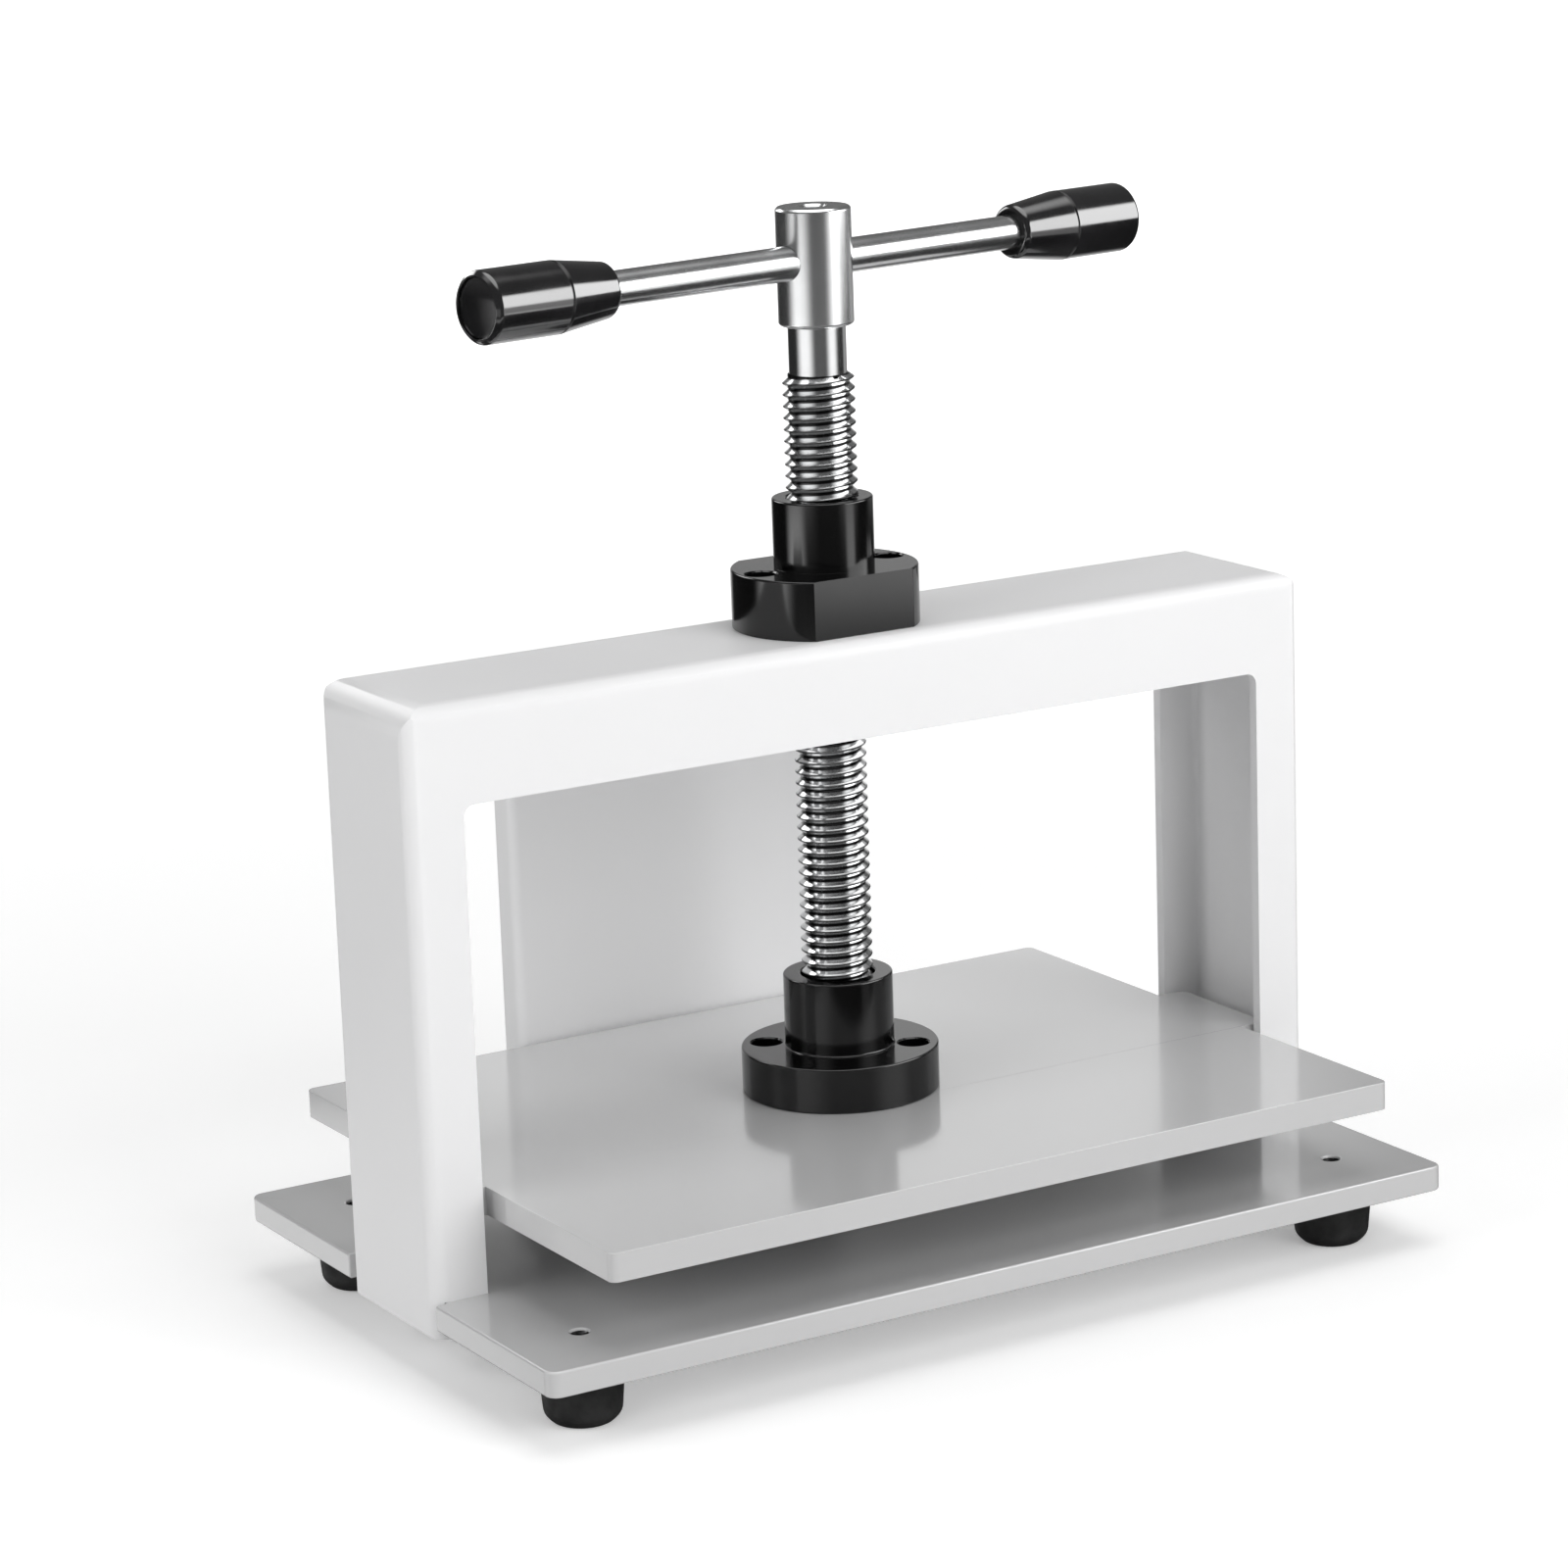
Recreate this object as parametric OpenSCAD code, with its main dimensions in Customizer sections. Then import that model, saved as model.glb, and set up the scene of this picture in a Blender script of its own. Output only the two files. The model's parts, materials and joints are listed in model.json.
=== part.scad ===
// Screw press for flattening sheets between two plates.
// Millimetres. The press stands on z = 0, with +Z up, its front at -Y and its length along X.
// The origin is the middle of the footprint; the screw's axis stands at axis_y.

/* [Pressing plate] */
// Length of the pressing plate
plate_l = 310; // [260:1:360]
// Depth of the pressing plate, front to rear
plate_w = 225; // [190:1:300]
// Thickness of the pressing plate
plate_t = 10; // [8:0.5:16]
// Radius of the pressing plate's corners
plate_corner_r = 3; // [2:0.5:12]
// Gap between the two plates at rest
rest_gap = 25; // [5:0.5:60]
// Gap between the plate's ends and the portal's legs
plate_gap = 4; // [2:0.5:10]
// Gap between a guide ear and each flange of its leg
ear_side_gap = 2; // [0.5:0.5:5]
// Gap between a guide ear's end and the web of its leg
ear_end_gap = 9; // [2:0.5:12]
// Radius of a guide ear's corners
ear_corner_r = 3; // [1:0.5:6]

/* [Base] */
// How far the base reaches past the plate, front and rear
base_margin = 0.5; // [0:0.5:20]
// Thickness of the base
base_t = 9; // [7:0.5:16]
// Radius of the base's corners
base_corner_r = 4.5; // [2:0.5:15]
// Gap beside each leg in the base's end notches
notch_gap = 0.5; // [0.2:0.1:2]

/* [Feet] */
// Height of the rubber feet
foot_h = 21; // [16:0.5:35]
// Diameter of a foot under the base
foot_top_d = 29; // [24:0.5:40]
// Diameter of a foot at the floor
foot_floor_d = 26; // [21:0.5:36]
// Radius of a foot's lower edge
foot_edge_r = 3; // [0.5:0.5:3]
// Distance of a foot's axis from the base's end
foot_inset_x = 27; // [22:1:60]
// Distance of a foot's axis from the base's front or rear edge
foot_inset_y = 30; // [22:1:50]
// Depth of the recess for the screw head in a foot
foot_recess = 8; // [7:0.5:11]
// Depth of a foot screw's end below the base's top face
foot_screw_drop = 4; // [1:0.5:5]

/* [Portal frame] */
// Height of the portal above the base
frame_h = 201.5; // [180:0.5:300]
// Depth of the portal, front to rear
frame_d = 64; // [60:1:90]
// Thickness of the portal's sheet
sheet = 4; // [2:0.5:6]
// Width of a leg, seen from the front
leg_w = 20; // [16:0.5:40]
// Height of the beam, seen from the front
beam_h = 34.5; // [28:0.5:60]
// Inner radius of the long bends
bend_r = 2; // [1:0.5:2]
// Inner radius of the bends between the beam and the legs
shoulder_r = 6; // [2:0.5:15]
// Outer radius of the welded corners under the base
foot_corner_r = 1; // [0.5:0.5:2]
// Radius of the window's upper corners
window_r = 4; // [1:0.5:12]
// Length of the sheet turned in under the base
return_l = 42; // [36:1:60]

/* [Top nut] */
// Diameter of the nut's flange
nut_flange_d = 65; // [64:0.5:80]
// Distance between the two flats of the flange
nut_flats = 51.5; // [44:0.5:52]
// Thickness of the nut's flange
nut_flange_t = 20.5; // [16:0.5:30]
// Diameter of the nut's boss
nut_boss_d = 35; // [31:0.5:38]
// Height of the nut's boss above its flange
nut_boss_h = 24; // [10:0.5:35]
// Diameter of the spigot through the portal's top
nut_spigot_d = 34; // [30:0.5:36]
// Length of the spigot below the portal's top face
nut_spigot_l = 18; // [8:0.5:30]
// Distance between the nut's two screws
nut_screw_span = 51; // [50:0.5:52]
// Metal under the heads of the nut's screws
nut_screw_floor = 8; // [4:0.5:9]

/* [Screw seat] */
// Diameter of the seat's flange
seat_flange_d = 69.5; // [66:0.5:90]
// Thickness of the seat's flange
seat_flange_t = 16; // [14:0.5:24]
// Diameter of the seat's boss
seat_boss_d = 38.5; // [36:0.5:40]
// Height of the seat's boss above its flange
seat_boss_h = 26; // [20:0.5:40]
// Distance between the seat's two screws
seat_screw_span = 52; // [51.5:0.5:54]
// Angle of the seat's two screws from the X axis
seat_turn = -37.5; // [-90:0.5:90]
// Metal under the heads of the seat's screws
seat_screw_floor = 6; // [4:0.5:7]
// Depth of the mouth that the thread runs into
mouth_depth = 8; // [4:0.5:10]
// Gap round the thread in the mouth
mouth_gap = 0.5; // [0.5:0.1:2]

/* [Lead screw] */
// Outer diameter of the thread
screw_d = 25; // [23:0.5:26]
// Length of the threaded part
thread_l = 219; // [205:1:260]
// Diameter of the plain neck under the head
neck_d = 20; // [17:0.5:22]
// Length of the plain neck
neck_l = 16.5; // [8:0.5:30]
// Diameter of the tenon in the head
tenon_d = 14; // [10:0.5:16]
// Diameter of the journal that turns in the seat
journal_d = 20; // [18:0.5:22]
// Diameter of the tail that carries the collar
tail_d = 14; // [10:0.5:16]
// How far the tail reaches below the collar
tail_l = 3; // [1:0.5:5]

/* [Collar and thrust washer] */
// Diameter of the retaining collar
collar_d = 31; // [28:0.5:32]
// Height of the retaining collar
collar_h = 13; // [10:0.5:15]
// Gap round the collar in its chamber
chamber_gap = 1; // [0.5:0.1:1.5]
// Diameter of the collar's set screw
collar_screw_d = 5; // [4:0.5:6]
// Diameter of the thrust washer
thrust_d = 30; // [24:0.5:31]
// Thickness of the thrust washer
thrust_t = 3; // [2:0.5:5]
// How deep the thrust washer is let into the plate
thrust_recess = 1.5; // [0.5:0.5:2]

/* [Handle] */
// Diameter of the tee head
head_d = 26; // [24:0.5:32]
// Height of the tee head
head_h = 40.5; // [34:0.5:50]
// Height of the rod's axis above the head's lower face
rod_rise = 22; // [18:0.5:24]
// Diameter of the rod
rod_d = 12; // [9:0.5:14]
// Length of the handle over both grips
handle_l = 287; // [200:1:340]
// Angle of the handle from the X axis
handle_turn = 9; // [-25:1:25]
// Length of a grip
grip_l = 53; // [45:0.5:70]
// Diameter of a grip
grip_d = 24.5; // [22:0.5:32]
// Diameter of a grip's inner end
grip_tip_d = 19; // [17:0.5:21]
// Length of a grip's tapered part
grip_taper_l = 22; // [10:0.5:25]
// How far the rod reaches into a grip
rod_bite = 36; // [20:0.5:36]
// Width of the groove at the end of the taper
grip_groove = 0.8; // [0.4:0.1:1.5]
// Diameter of a grip's end cap
cap_d = 20; // [14:0.5:20]
// Depth of the end cap in its grip
cap_t = 3; // [2:0.5:5]
// Height of the end cap's dome
cap_dome = 0.8; // [0.3:0.1:1.2]
// Diameter of the set screw in the head
head_screw_d = 8; // [6:0.5:10]

/* [Rear stop] */
// Width of the rear stop
stop_w = 135; // [100:1:180]
// Height of the rear stop above the base
stop_h = 160; // [100:1:175]
// Thickness of the rear stop's sheet
stop_sheet = 2.5; // [1.5:0.5:4]
// Inner radius of the rear stop's bends
stop_bend_r = 1; // [0.5:0.5:3]
// Depth of the rear stop's side flanges
stop_flange = 12; // [8:0.5:25]
// Height of the side flanges' lower ends above the base
stop_flange_rise = 4; // [2:0.5:20]
// Gap between the base's rear edge and the rear stop
stop_gap = 1; // [0.5:0.5:3]
// Length of the rear stop's flange under the base
stop_return_l = 30; // [24:1:50]
// Distance between the rear stop's two screws
stop_screw_span = 90; // [60:1:110]

/* [Fasteners] */
// Diameter of the socket screws in the nut and the seat
cap_screw_d = 6; // [5:0.5:6]
// Diameter of a socket screw's head
cap_head_d = 10; // [9:0.5:10]
// Height of a socket screw's head
cap_head_h = 6; // [4:0.5:6]
// Width of a socket screw's hexagon
cap_hex = 5; // [3:0.5:6]
// Thickness of the nuts on the nut's socket screws
hex_nut_h = 5; // [4:0.5:7]
// Width of those nuts over their flats
hex_nut_w = 10; // [9:0.5:11]
// Diameter of the bolts between the portal and the base
bolt_d = 8; // [6:0.5:10]
// Width of a bolt's head over its flats
bolt_head_w = 13; // [11:0.5:17]
// Height of a bolt's head
bolt_head_h = 5.5; // [4:0.5:7]
// Distance between the two bolts of a leg
bolt_span = 36; // [24:1:40]
// Distance of the bolts from the web of their leg
bolt_inset = 20; // [14:0.5:24]
// Diameter of the foot screws
foot_screw_d = 6; // [4:0.5:8]
// Diameter of a foot screw's head
foot_head_d = 11; // [9:0.5:12]
// Height of a foot screw's head
foot_head_h = 4; // [2:0.5:4]
// Diameter of the rear stop's screws
stop_screw_d = 5; // [4:0.5:6]
// Diameter of the head of a rear stop's screw
stop_head_d = 9; // [8:0.5:12]
// Height of the head of a rear stop's screw
stop_head_h = 3; // [2:0.5:5]
// Thickness of the flat washers
washer_t = 1.5; // [1:0.1:2]
// How far a flat washer reaches past its screw
washer_rim = 3.3; // [2.5:0.1:3.5]
// Sheet of metal left under a blind hole
blind_floor = 2; // [1:0.5:3]

/* [Clearances] */
// Gap round the screw in its nut, and round the journal in the seat
run_gap = 0.05; // [0.02:0.01:0.1]
// Gap at the thrust faces of the screw
thrust_gap = 0.2; // [0.1:0.05:0.4]
// Gap round a screw in its hole
hole_gap = 0.15; // [0.1:0.05:0.3]
// Gap round a screw head or a washer in its recess
head_gap = 0.5; // [0.3:0.1:0.5]
// Gap round a piece that is slid into its seat
slip_gap = 0.1; // [0.05:0.01:0.15]
// Gap between a screw's end and the bottom of its blind hole
tip_gap = 0.5; // [0.2:0.1:1]
// Width of the small chamfers and edge breaks
edge = 0.8; // [0.3:0.1:1]

/* [Hidden] */
$fn = 64;

white_paint = "#e6e6e6";
black_oxide = "#242424";
bright_steel = "#c4c8cc";
zinc_steel = "#a8adb2";
black_rubber = "#1a1a1a";
black_plastic = "#101010";
yellow_brass = "#c8a04a";

// Cutting tools reach this far past the faces that they cut
past = 1;

// Plan sizes
frame_half = plate_l / 2 + plate_gap + leg_w;
web_face = frame_half - sheet;
base_l = 2 * frame_half;
base_w = plate_w + 2 * base_margin;
window_half = frame_half - leg_w;
ear_l = web_face - ear_end_gap - plate_l / 2;
ear_w = frame_d - 2 * sheet - 2 * ear_side_gap;
stop_y = base_w / 2 + stop_gap;
axis_y = -(stop_gap + stop_flange) / 2;
foot_x = base_l / 2 - foot_inset_x;
foot_y = base_w / 2 - foot_inset_y;
bolt_x = web_face - bolt_inset;
stop_screw_y = stop_y - stop_return_l / 2;

// Heights
base_z = foot_h;
base_top = base_z + base_t;
frame_foot = base_z - sheet;
frame_top = base_top + frame_h;
window_top = frame_top - beam_h;
plate_z = base_top + rest_gap;
plate_top = plate_z + plate_t;
seat_flange_top = plate_top + seat_flange_t;
seat_top = seat_flange_top + seat_boss_h;
thrust_z = plate_top - thrust_recess;
screw_z = thrust_z + thrust_t + thrust_gap;
collar_z = screw_z + tail_l;
collar_top = collar_z + collar_h;
chamber_top = collar_top + thrust_gap;
mouth_z = seat_top - mouth_depth;
thread_z = mouth_z + mouth_gap;
thread_top = thread_z + thread_l;
head_z = thread_top + neck_l;
head_top = head_z + head_h;
rod_z = head_z + rod_rise;
nut_flange_top = frame_top + nut_flange_t;
nut_top = nut_flange_top + nut_boss_h;

// Bores and recesses that follow what they hold
screw_bore_d = screw_d + 2 * run_gap;
journal_bore_d = journal_d + 2 * run_gap;
chamber_d = collar_d + 2 * chamber_gap;
mouth_d = screw_d + 2 * mouth_gap;
cap_recess_d = cap_head_d + 2 * head_gap;
cap_hole_d = cap_screw_d + 2 * hole_gap;
rod_bore_d = rod_d + 2 * slip_gap;
grip_bore = rod_bite + tip_gap;
rod_half = handle_l / 2 - grip_l + rod_bite;

// Puts a piece drawn round the screw's axis in its place
module at_axis() {
    translate([0, axis_y, 0])
        children();
}

// Four copies, mirrored in X and Y
module at_corners(x, y) {
    for (sx = [-1, 1], sy = [-1, 1])
        translate([sx * x, sy * y, 0])
            children();
}

// Two copies, on X
module at_pair(span) {
    for (s = [-1, 1])
        translate([s * span / 2, 0, 0])
            children();
}

module rounded_rect(x, y, r) {
    square([x - 2 * r, y], center = true);
    square([x, y - 2 * r], center = true);
    for (sx = [-1, 1], sy = [-1, 1])
        translate([sx * (x / 2 - r), sy * (y / 2 - r)])
            circle(r);
}

// Upright outline of width w between two heights, with its own radius at the foot and at the top
module upright_outline(w, low, high, low_r, high_r) {
    middle = (low + high) / 2;
    translate([-w / 2, low + low_r])
        square([w, high - high_r - low - low_r]);
    translate([-w / 2 + high_r, middle])
        square([w - 2 * high_r, high - middle]);
    translate([-w / 2 + low_r, low])
        square([w - 2 * low_r, middle - low]);
    for (s = [-1, 1]) {
        translate([s * (w / 2 - high_r), high - high_r])
            circle(high_r);
        if (low_r > 0)
            translate([s * (w / 2 - low_r), low + low_r])
                circle(low_r);
    }
}

module ring(outer_d, inner_d, h) {
    difference() {
        cylinder(d = outer_d, h = h);
        translate([0, 0, -past])
            cylinder(d = inner_d, h = h + 2 * past);
    }
}

module hexagon(w, h) {
    cylinder(d = w / cos(30), h = h, $fn = 6);
}

// Screw whose head bears on z = 0 from below, with its shank up
module hex_bolt(d, head_w, head_h, l) {
    translate([0, 0, -head_h])
        hexagon(head_w, head_h);
    cylinder(d = d, h = l);
}

module socket_screw(d, head_d, head_h, hex, l) {
    difference() {
        union() {
            translate([0, 0, -head_h])
                cylinder(d = head_d, h = head_h);
            cylinder(d = d, h = l);
        }
        translate([0, 0, -head_h - past])
            hexagon(hex, head_h / 2 + past);
    }
}

module base_plate() {
    blind = base_t - blind_floor;
    color(white_paint) at_axis() translate([0, 0, base_z])
        difference() {
            linear_extrude(base_t)
                difference() {
                    rounded_rect(base_l, base_w, base_corner_r);
                    at_pair(base_l)
                        square([2 * sheet, frame_d + 2 * notch_gap], center = true);
                }
            at_corners(foot_x, foot_y)
                translate([0, 0, -past])
                    cylinder(d = foot_screw_d + 2 * hole_gap, h = base_t + 2 * past);
            at_corners(bolt_x, bolt_span / 2)
                translate([0, 0, -past])
                    cylinder(d = bolt_d + 2 * hole_gap, h = blind + past);
            translate([0, stop_screw_y, -past])
                at_pair(stop_screw_span)
                    cylinder(d = stop_screw_d + 2 * hole_gap, h = blind + past);
        }
}

module rubber_feet() {
    top_r = foot_top_d / 2;
    floor_r = foot_floor_d / 2;
    color(black_rubber) at_axis() at_corners(foot_x, foot_y)
        difference() {
            rotate_extrude() {
                polygon([
                    [0, 0], [floor_r - foot_edge_r, 0], [floor_r, foot_edge_r],
                    [top_r, foot_h], [0, foot_h]
                ]);
                translate([floor_r - foot_edge_r, foot_edge_r])
                    circle(foot_edge_r);
            }
            translate([0, 0, -past])
                cylinder(d = foot_screw_d + 2 * (washer_rim + head_gap), h = foot_recess + past);
            cylinder(d = foot_screw_d + 2 * hole_gap, h = foot_h + past);
        }
}

module foot_washers() {
    color(zinc_steel) at_axis() at_corners(foot_x, foot_y)
        translate([0, 0, foot_recess - washer_t])
            ring(foot_screw_d + 2 * washer_rim, foot_screw_d + 2 * hole_gap, washer_t);
}

module foot_screws() {
    bearing = foot_recess - washer_t;
    color(zinc_steel) at_axis() at_corners(foot_x, foot_y)
        translate([0, 0, bearing])
            socket_screw(foot_screw_d, foot_head_d, foot_head_h, foot_screw_d * 0.6,
                base_top - foot_screw_drop - bearing);
}

// The portal's block, with its bends rounded, drawn in by inset on every side
module frame_block(inset) {
    w = 2 * (frame_half - inset);
    d = frame_d - 2 * inset;
    low = frame_foot + inset;
    high = frame_top - inset;
    outer = sheet - inset;
    intersection() {
        rotate([90, 0, 0])
            linear_extrude(d + 2 * past, center = true)
                upright_outline(w, low, high, max(foot_corner_r - inset, 0), shoulder_r + outer);
        translate([0, 0, low - past])
            linear_extrude(high - low + 2 * past)
                rounded_rect(w, d, bend_r + outer);
        rotate([90, 0, 90])
            linear_extrude(w + 2 * past, center = true)
                upright_outline(d, low - past, high, 0, bend_r + outer);
    }
}

module frame() {
    color(white_paint) at_axis()
        difference() {
            frame_block(0);
            frame_block(sheet);
            // Window
            rotate([90, 0, 0])
                linear_extrude(frame_d + 2 * past, center = true)
                    upright_outline(2 * window_half, base_z, window_top, 0, window_r);
            // Slot that the base's end fills
            translate([-web_face, -frame_d / 2 - past, base_z])
                cube([2 * web_face, frame_d + 2 * past, base_t]);
            // Gap between the two returns
            translate([-(frame_half - return_l), -frame_d / 2 - past, frame_foot - past])
                cube([2 * (frame_half - return_l), frame_d + 2 * past, sheet + 2 * past]);
            translate([0, 0, frame_top - sheet - past]) {
                cylinder(d = nut_spigot_d + 2 * slip_gap, h = sheet + 2 * past);
                at_pair(nut_screw_span)
                    cylinder(d = cap_hole_d, h = sheet + 2 * past);
            }
            at_corners(bolt_x, bolt_span / 2)
                translate([0, 0, frame_foot - past])
                    cylinder(d = bolt_d + 2 * hole_gap, h = sheet + 2 * past);
        }
}

module frame_washers() {
    color(zinc_steel) at_axis() at_corners(bolt_x, bolt_span / 2)
        translate([0, 0, frame_foot - washer_t])
            ring(bolt_d + 2 * washer_rim, bolt_d + 2 * hole_gap, washer_t);
}

module frame_bolts() {
    bearing = frame_foot - washer_t;
    color(zinc_steel) at_axis() at_corners(bolt_x, bolt_span / 2)
        translate([0, 0, bearing])
            hex_bolt(bolt_d, bolt_head_w, bolt_head_h, base_top - blind_floor - tip_gap - bearing);
}

module top_nut() {
    boss_r = nut_boss_d / 2;
    color(black_oxide) at_axis()
        difference() {
            union() {
                translate([0, 0, frame_top])
                    linear_extrude(nut_flange_t)
                        intersection() {
                            circle(d = nut_flange_d);
                            square([nut_flange_d + past, nut_flats], center = true);
                        }
                translate([0, 0, nut_flange_top])
                    rotate_extrude()
                        polygon([
                            [0, 0], [boss_r + edge, 0], [boss_r, edge], [boss_r, nut_boss_h - edge],
                            [boss_r - edge, nut_boss_h], [0, nut_boss_h]
                        ]);
                translate([0, 0, frame_top - nut_spigot_l])
                    cylinder(d = nut_spigot_d, h = nut_spigot_l);
            }
            translate([0, 0, frame_top - nut_spigot_l - past])
                cylinder(d = screw_bore_d, h = nut_spigot_l + nut_flange_t + nut_boss_h + 2 * past);
            translate([0, 0, frame_top])
                at_pair(nut_screw_span) {
                    translate([0, 0, -past])
                        cylinder(d = cap_hole_d, h = nut_flange_t);
                    translate([0, 0, nut_screw_floor])
                        cylinder(d = cap_recess_d, h = nut_flange_t);
                }
        }
}

module nut_screws() {
    reach = nut_screw_floor + sheet + washer_t + hex_nut_h + tip_gap;
    color(black_oxide) at_axis() translate([0, 0, frame_top + nut_screw_floor])
        at_pair(nut_screw_span)
            rotate([180, 0, 0])
                socket_screw(cap_screw_d, cap_head_d, cap_head_h, cap_hex, reach);
}

module nut_washers() {
    color(zinc_steel) at_axis() translate([0, 0, frame_top - sheet - washer_t])
        at_pair(nut_screw_span)
            ring(cap_screw_d + 2 * washer_rim, cap_hole_d, washer_t);
}

module nut_hex_nuts() {
    color(zinc_steel) at_axis() translate([0, 0, frame_top - sheet - washer_t - hex_nut_h])
        at_pair(nut_screw_span)
            difference() {
                hexagon(hex_nut_w, hex_nut_h);
                translate([0, 0, -past])
                    cylinder(d = cap_hole_d, h = hex_nut_h + 2 * past);
            }
}

// The rear stop's front wall stands on stop_y; its side flanges turn back, its foot turns forward
module rear_stop() {
    outer_r = stop_sheet + stop_bend_r;
    low = base_z - stop_sheet;
    top = base_top + stop_h;
    wall_w = stop_w - 2 * outer_r;
    color(white_paint) at_axis()
        difference() {
            union() {
                translate([0, 0, base_top + stop_flange_rise])
                    linear_extrude(top - base_top - stop_flange_rise)
                        stop_channel(outer_r);
                translate([-wall_w / 2, stop_y, base_z + stop_bend_r])
                    cube([wall_w, stop_sheet, top - base_z - stop_bend_r]);
                rotate([90, 0, 90])
                    linear_extrude(wall_w, center = true)
                        stop_foot(outer_r, low);
            }
            translate([0, stop_screw_y, low - past])
                at_pair(stop_screw_span)
                    cylinder(d = stop_screw_d + 2 * hole_gap, h = stop_sheet + 2 * past);
        }
}

// Plan of the rear stop's wall and side flanges
module stop_channel(outer_r) {
    difference() {
        translate([0, stop_y + stop_flange])
            rounded_rect(stop_w, 2 * stop_flange, outer_r);
        translate([0, stop_y + stop_flange])
            rounded_rect(stop_w - 2 * stop_sheet, 2 * (stop_flange - stop_sheet), stop_bend_r);
        translate([-stop_w / 2 - past, stop_y + stop_flange])
            square([stop_w + 2 * past, stop_flange + past]);
    }
}

// Section of the rear stop's bend and flange under the base
module stop_foot(outer_r, low) {
    back = stop_y + stop_sheet;
    difference() {
        union() {
            translate([back - outer_r, low + outer_r])
                circle(outer_r);
            translate([stop_y - stop_return_l, low])
                square([back - outer_r - stop_y + stop_return_l, stop_sheet]);
        }
        translate([back - outer_r, low + outer_r])
            circle(stop_bend_r);
        translate([back - 3 * outer_r, low + stop_sheet])
            square([2 * outer_r, 3 * outer_r]);
        translate([back - 3 * outer_r, low + outer_r])
            square([3 * outer_r + past, 3 * outer_r]);
    }
}

module rear_stop_screws() {
    bearing = base_z - stop_sheet;
    color(zinc_steel) at_axis() translate([0, stop_screw_y, bearing])
        at_pair(stop_screw_span)
            socket_screw(stop_screw_d, stop_head_d, stop_head_h, stop_screw_d * 0.6,
                base_top - blind_floor - tip_gap - bearing);
}

module pressing_plate() {
    color(white_paint) at_axis() translate([0, 0, plate_z])
        difference() {
            linear_extrude(plate_t) {
                rounded_rect(plate_l, plate_w, plate_corner_r);
                rounded_rect(plate_l + 2 * ear_l, ear_w, ear_corner_r);
            }
            translate([0, 0, plate_t - thrust_recess])
                cylinder(d = thrust_d + 2 * slip_gap, h = thrust_recess + past);
            translate([0, 0, blind_floor])
                rotate(seat_turn)
                    at_pair(seat_screw_span)
                        cylinder(d = cap_hole_d, h = plate_t);
        }
}

module screw_seat() {
    flange_r = seat_flange_d / 2;
    boss_r = seat_boss_d / 2;
    bore_r = journal_bore_d / 2;
    chamber_r = chamber_d / 2;
    mouth_r = mouth_d / 2;
    color(black_oxide) at_axis()
        difference() {
            rotate_extrude()
                polygon([
                    [chamber_r, plate_top], [flange_r - edge, plate_top], [flange_r, plate_top + edge],
                    [flange_r, seat_flange_top - edge], [flange_r - edge, seat_flange_top],
                    [boss_r + edge, seat_flange_top], [boss_r, seat_flange_top + edge],
                    [boss_r, seat_top - edge], [boss_r - edge, seat_top],
                    [mouth_r + edge, seat_top], [mouth_r, seat_top - edge], [mouth_r, mouth_z],
                    [bore_r, mouth_z], [bore_r, chamber_top], [chamber_r, chamber_top]
                ]);
            rotate(seat_turn)
                at_pair(seat_screw_span) {
                    translate([0, 0, plate_top - past])
                        cylinder(d = cap_hole_d, h = seat_flange_t);
                    translate([0, 0, plate_top + seat_screw_floor])
                        cylinder(d = cap_recess_d, h = seat_flange_t);
                }
        }
}

module seat_screws() {
    reach = seat_screw_floor + plate_t - blind_floor - tip_gap;
    color(black_oxide) at_axis() translate([0, 0, plate_top + seat_screw_floor])
        rotate(seat_turn)
            at_pair(seat_screw_span)
                rotate([180, 0, 0])
                    socket_screw(cap_screw_d, cap_head_d, cap_head_h, cap_hex, reach);
}

module thrust_washer() {
    color(yellow_brass) at_axis() translate([0, 0, thrust_z])
        cylinder(d = thrust_d, h = thrust_t);
}

module lead_screw() {
    thread_r = screw_d / 2;
    journal_r = journal_d / 2;
    tail_r = tail_d / 2;
    neck_r = neck_d / 2;
    tenon_r = tenon_d / 2;
    tenon_top = rod_z - rod_d / 2 - slip_gap;
    color(bright_steel) at_axis()
        rotate_extrude()
            polygon([
                [0, screw_z], [tail_r - edge, screw_z], [tail_r, screw_z + edge], [tail_r, collar_top],
                [journal_r, collar_top], [journal_r, thread_z],
                [thread_r - edge, thread_z], [thread_r, thread_z + edge],
                [thread_r, thread_top - edge], [thread_r - edge, thread_top],
                [neck_r, thread_top], [neck_r, head_z], [tenon_r, head_z],
                [tenon_r, tenon_top - edge], [tenon_r - edge, tenon_top], [0, tenon_top]
            ]);
}

module retaining_collar() {
    middle = collar_z + collar_h / 2;
    color(zinc_steel) at_axis()
        difference() {
            translate([0, 0, collar_z])
                ring(collar_d, tail_d + 2 * slip_gap, collar_h);
            translate([0, 0, middle])
                rotate([0, 90, 0])
                    cylinder(d = collar_screw_d + 2 * hole_gap, h = collar_d);
        }
}

module collar_screw() {
    start = tail_d / 2 + slip_gap;
    length = collar_d / 2 - edge - start;
    color(zinc_steel) at_axis() translate([start, 0, collar_z + collar_h / 2])
        rotate([0, 90, 0])
            difference() {
                cylinder(d = collar_screw_d, h = length);
                translate([0, 0, length / 2])
                    hexagon(collar_screw_d / 2, length);
            }
}

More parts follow.
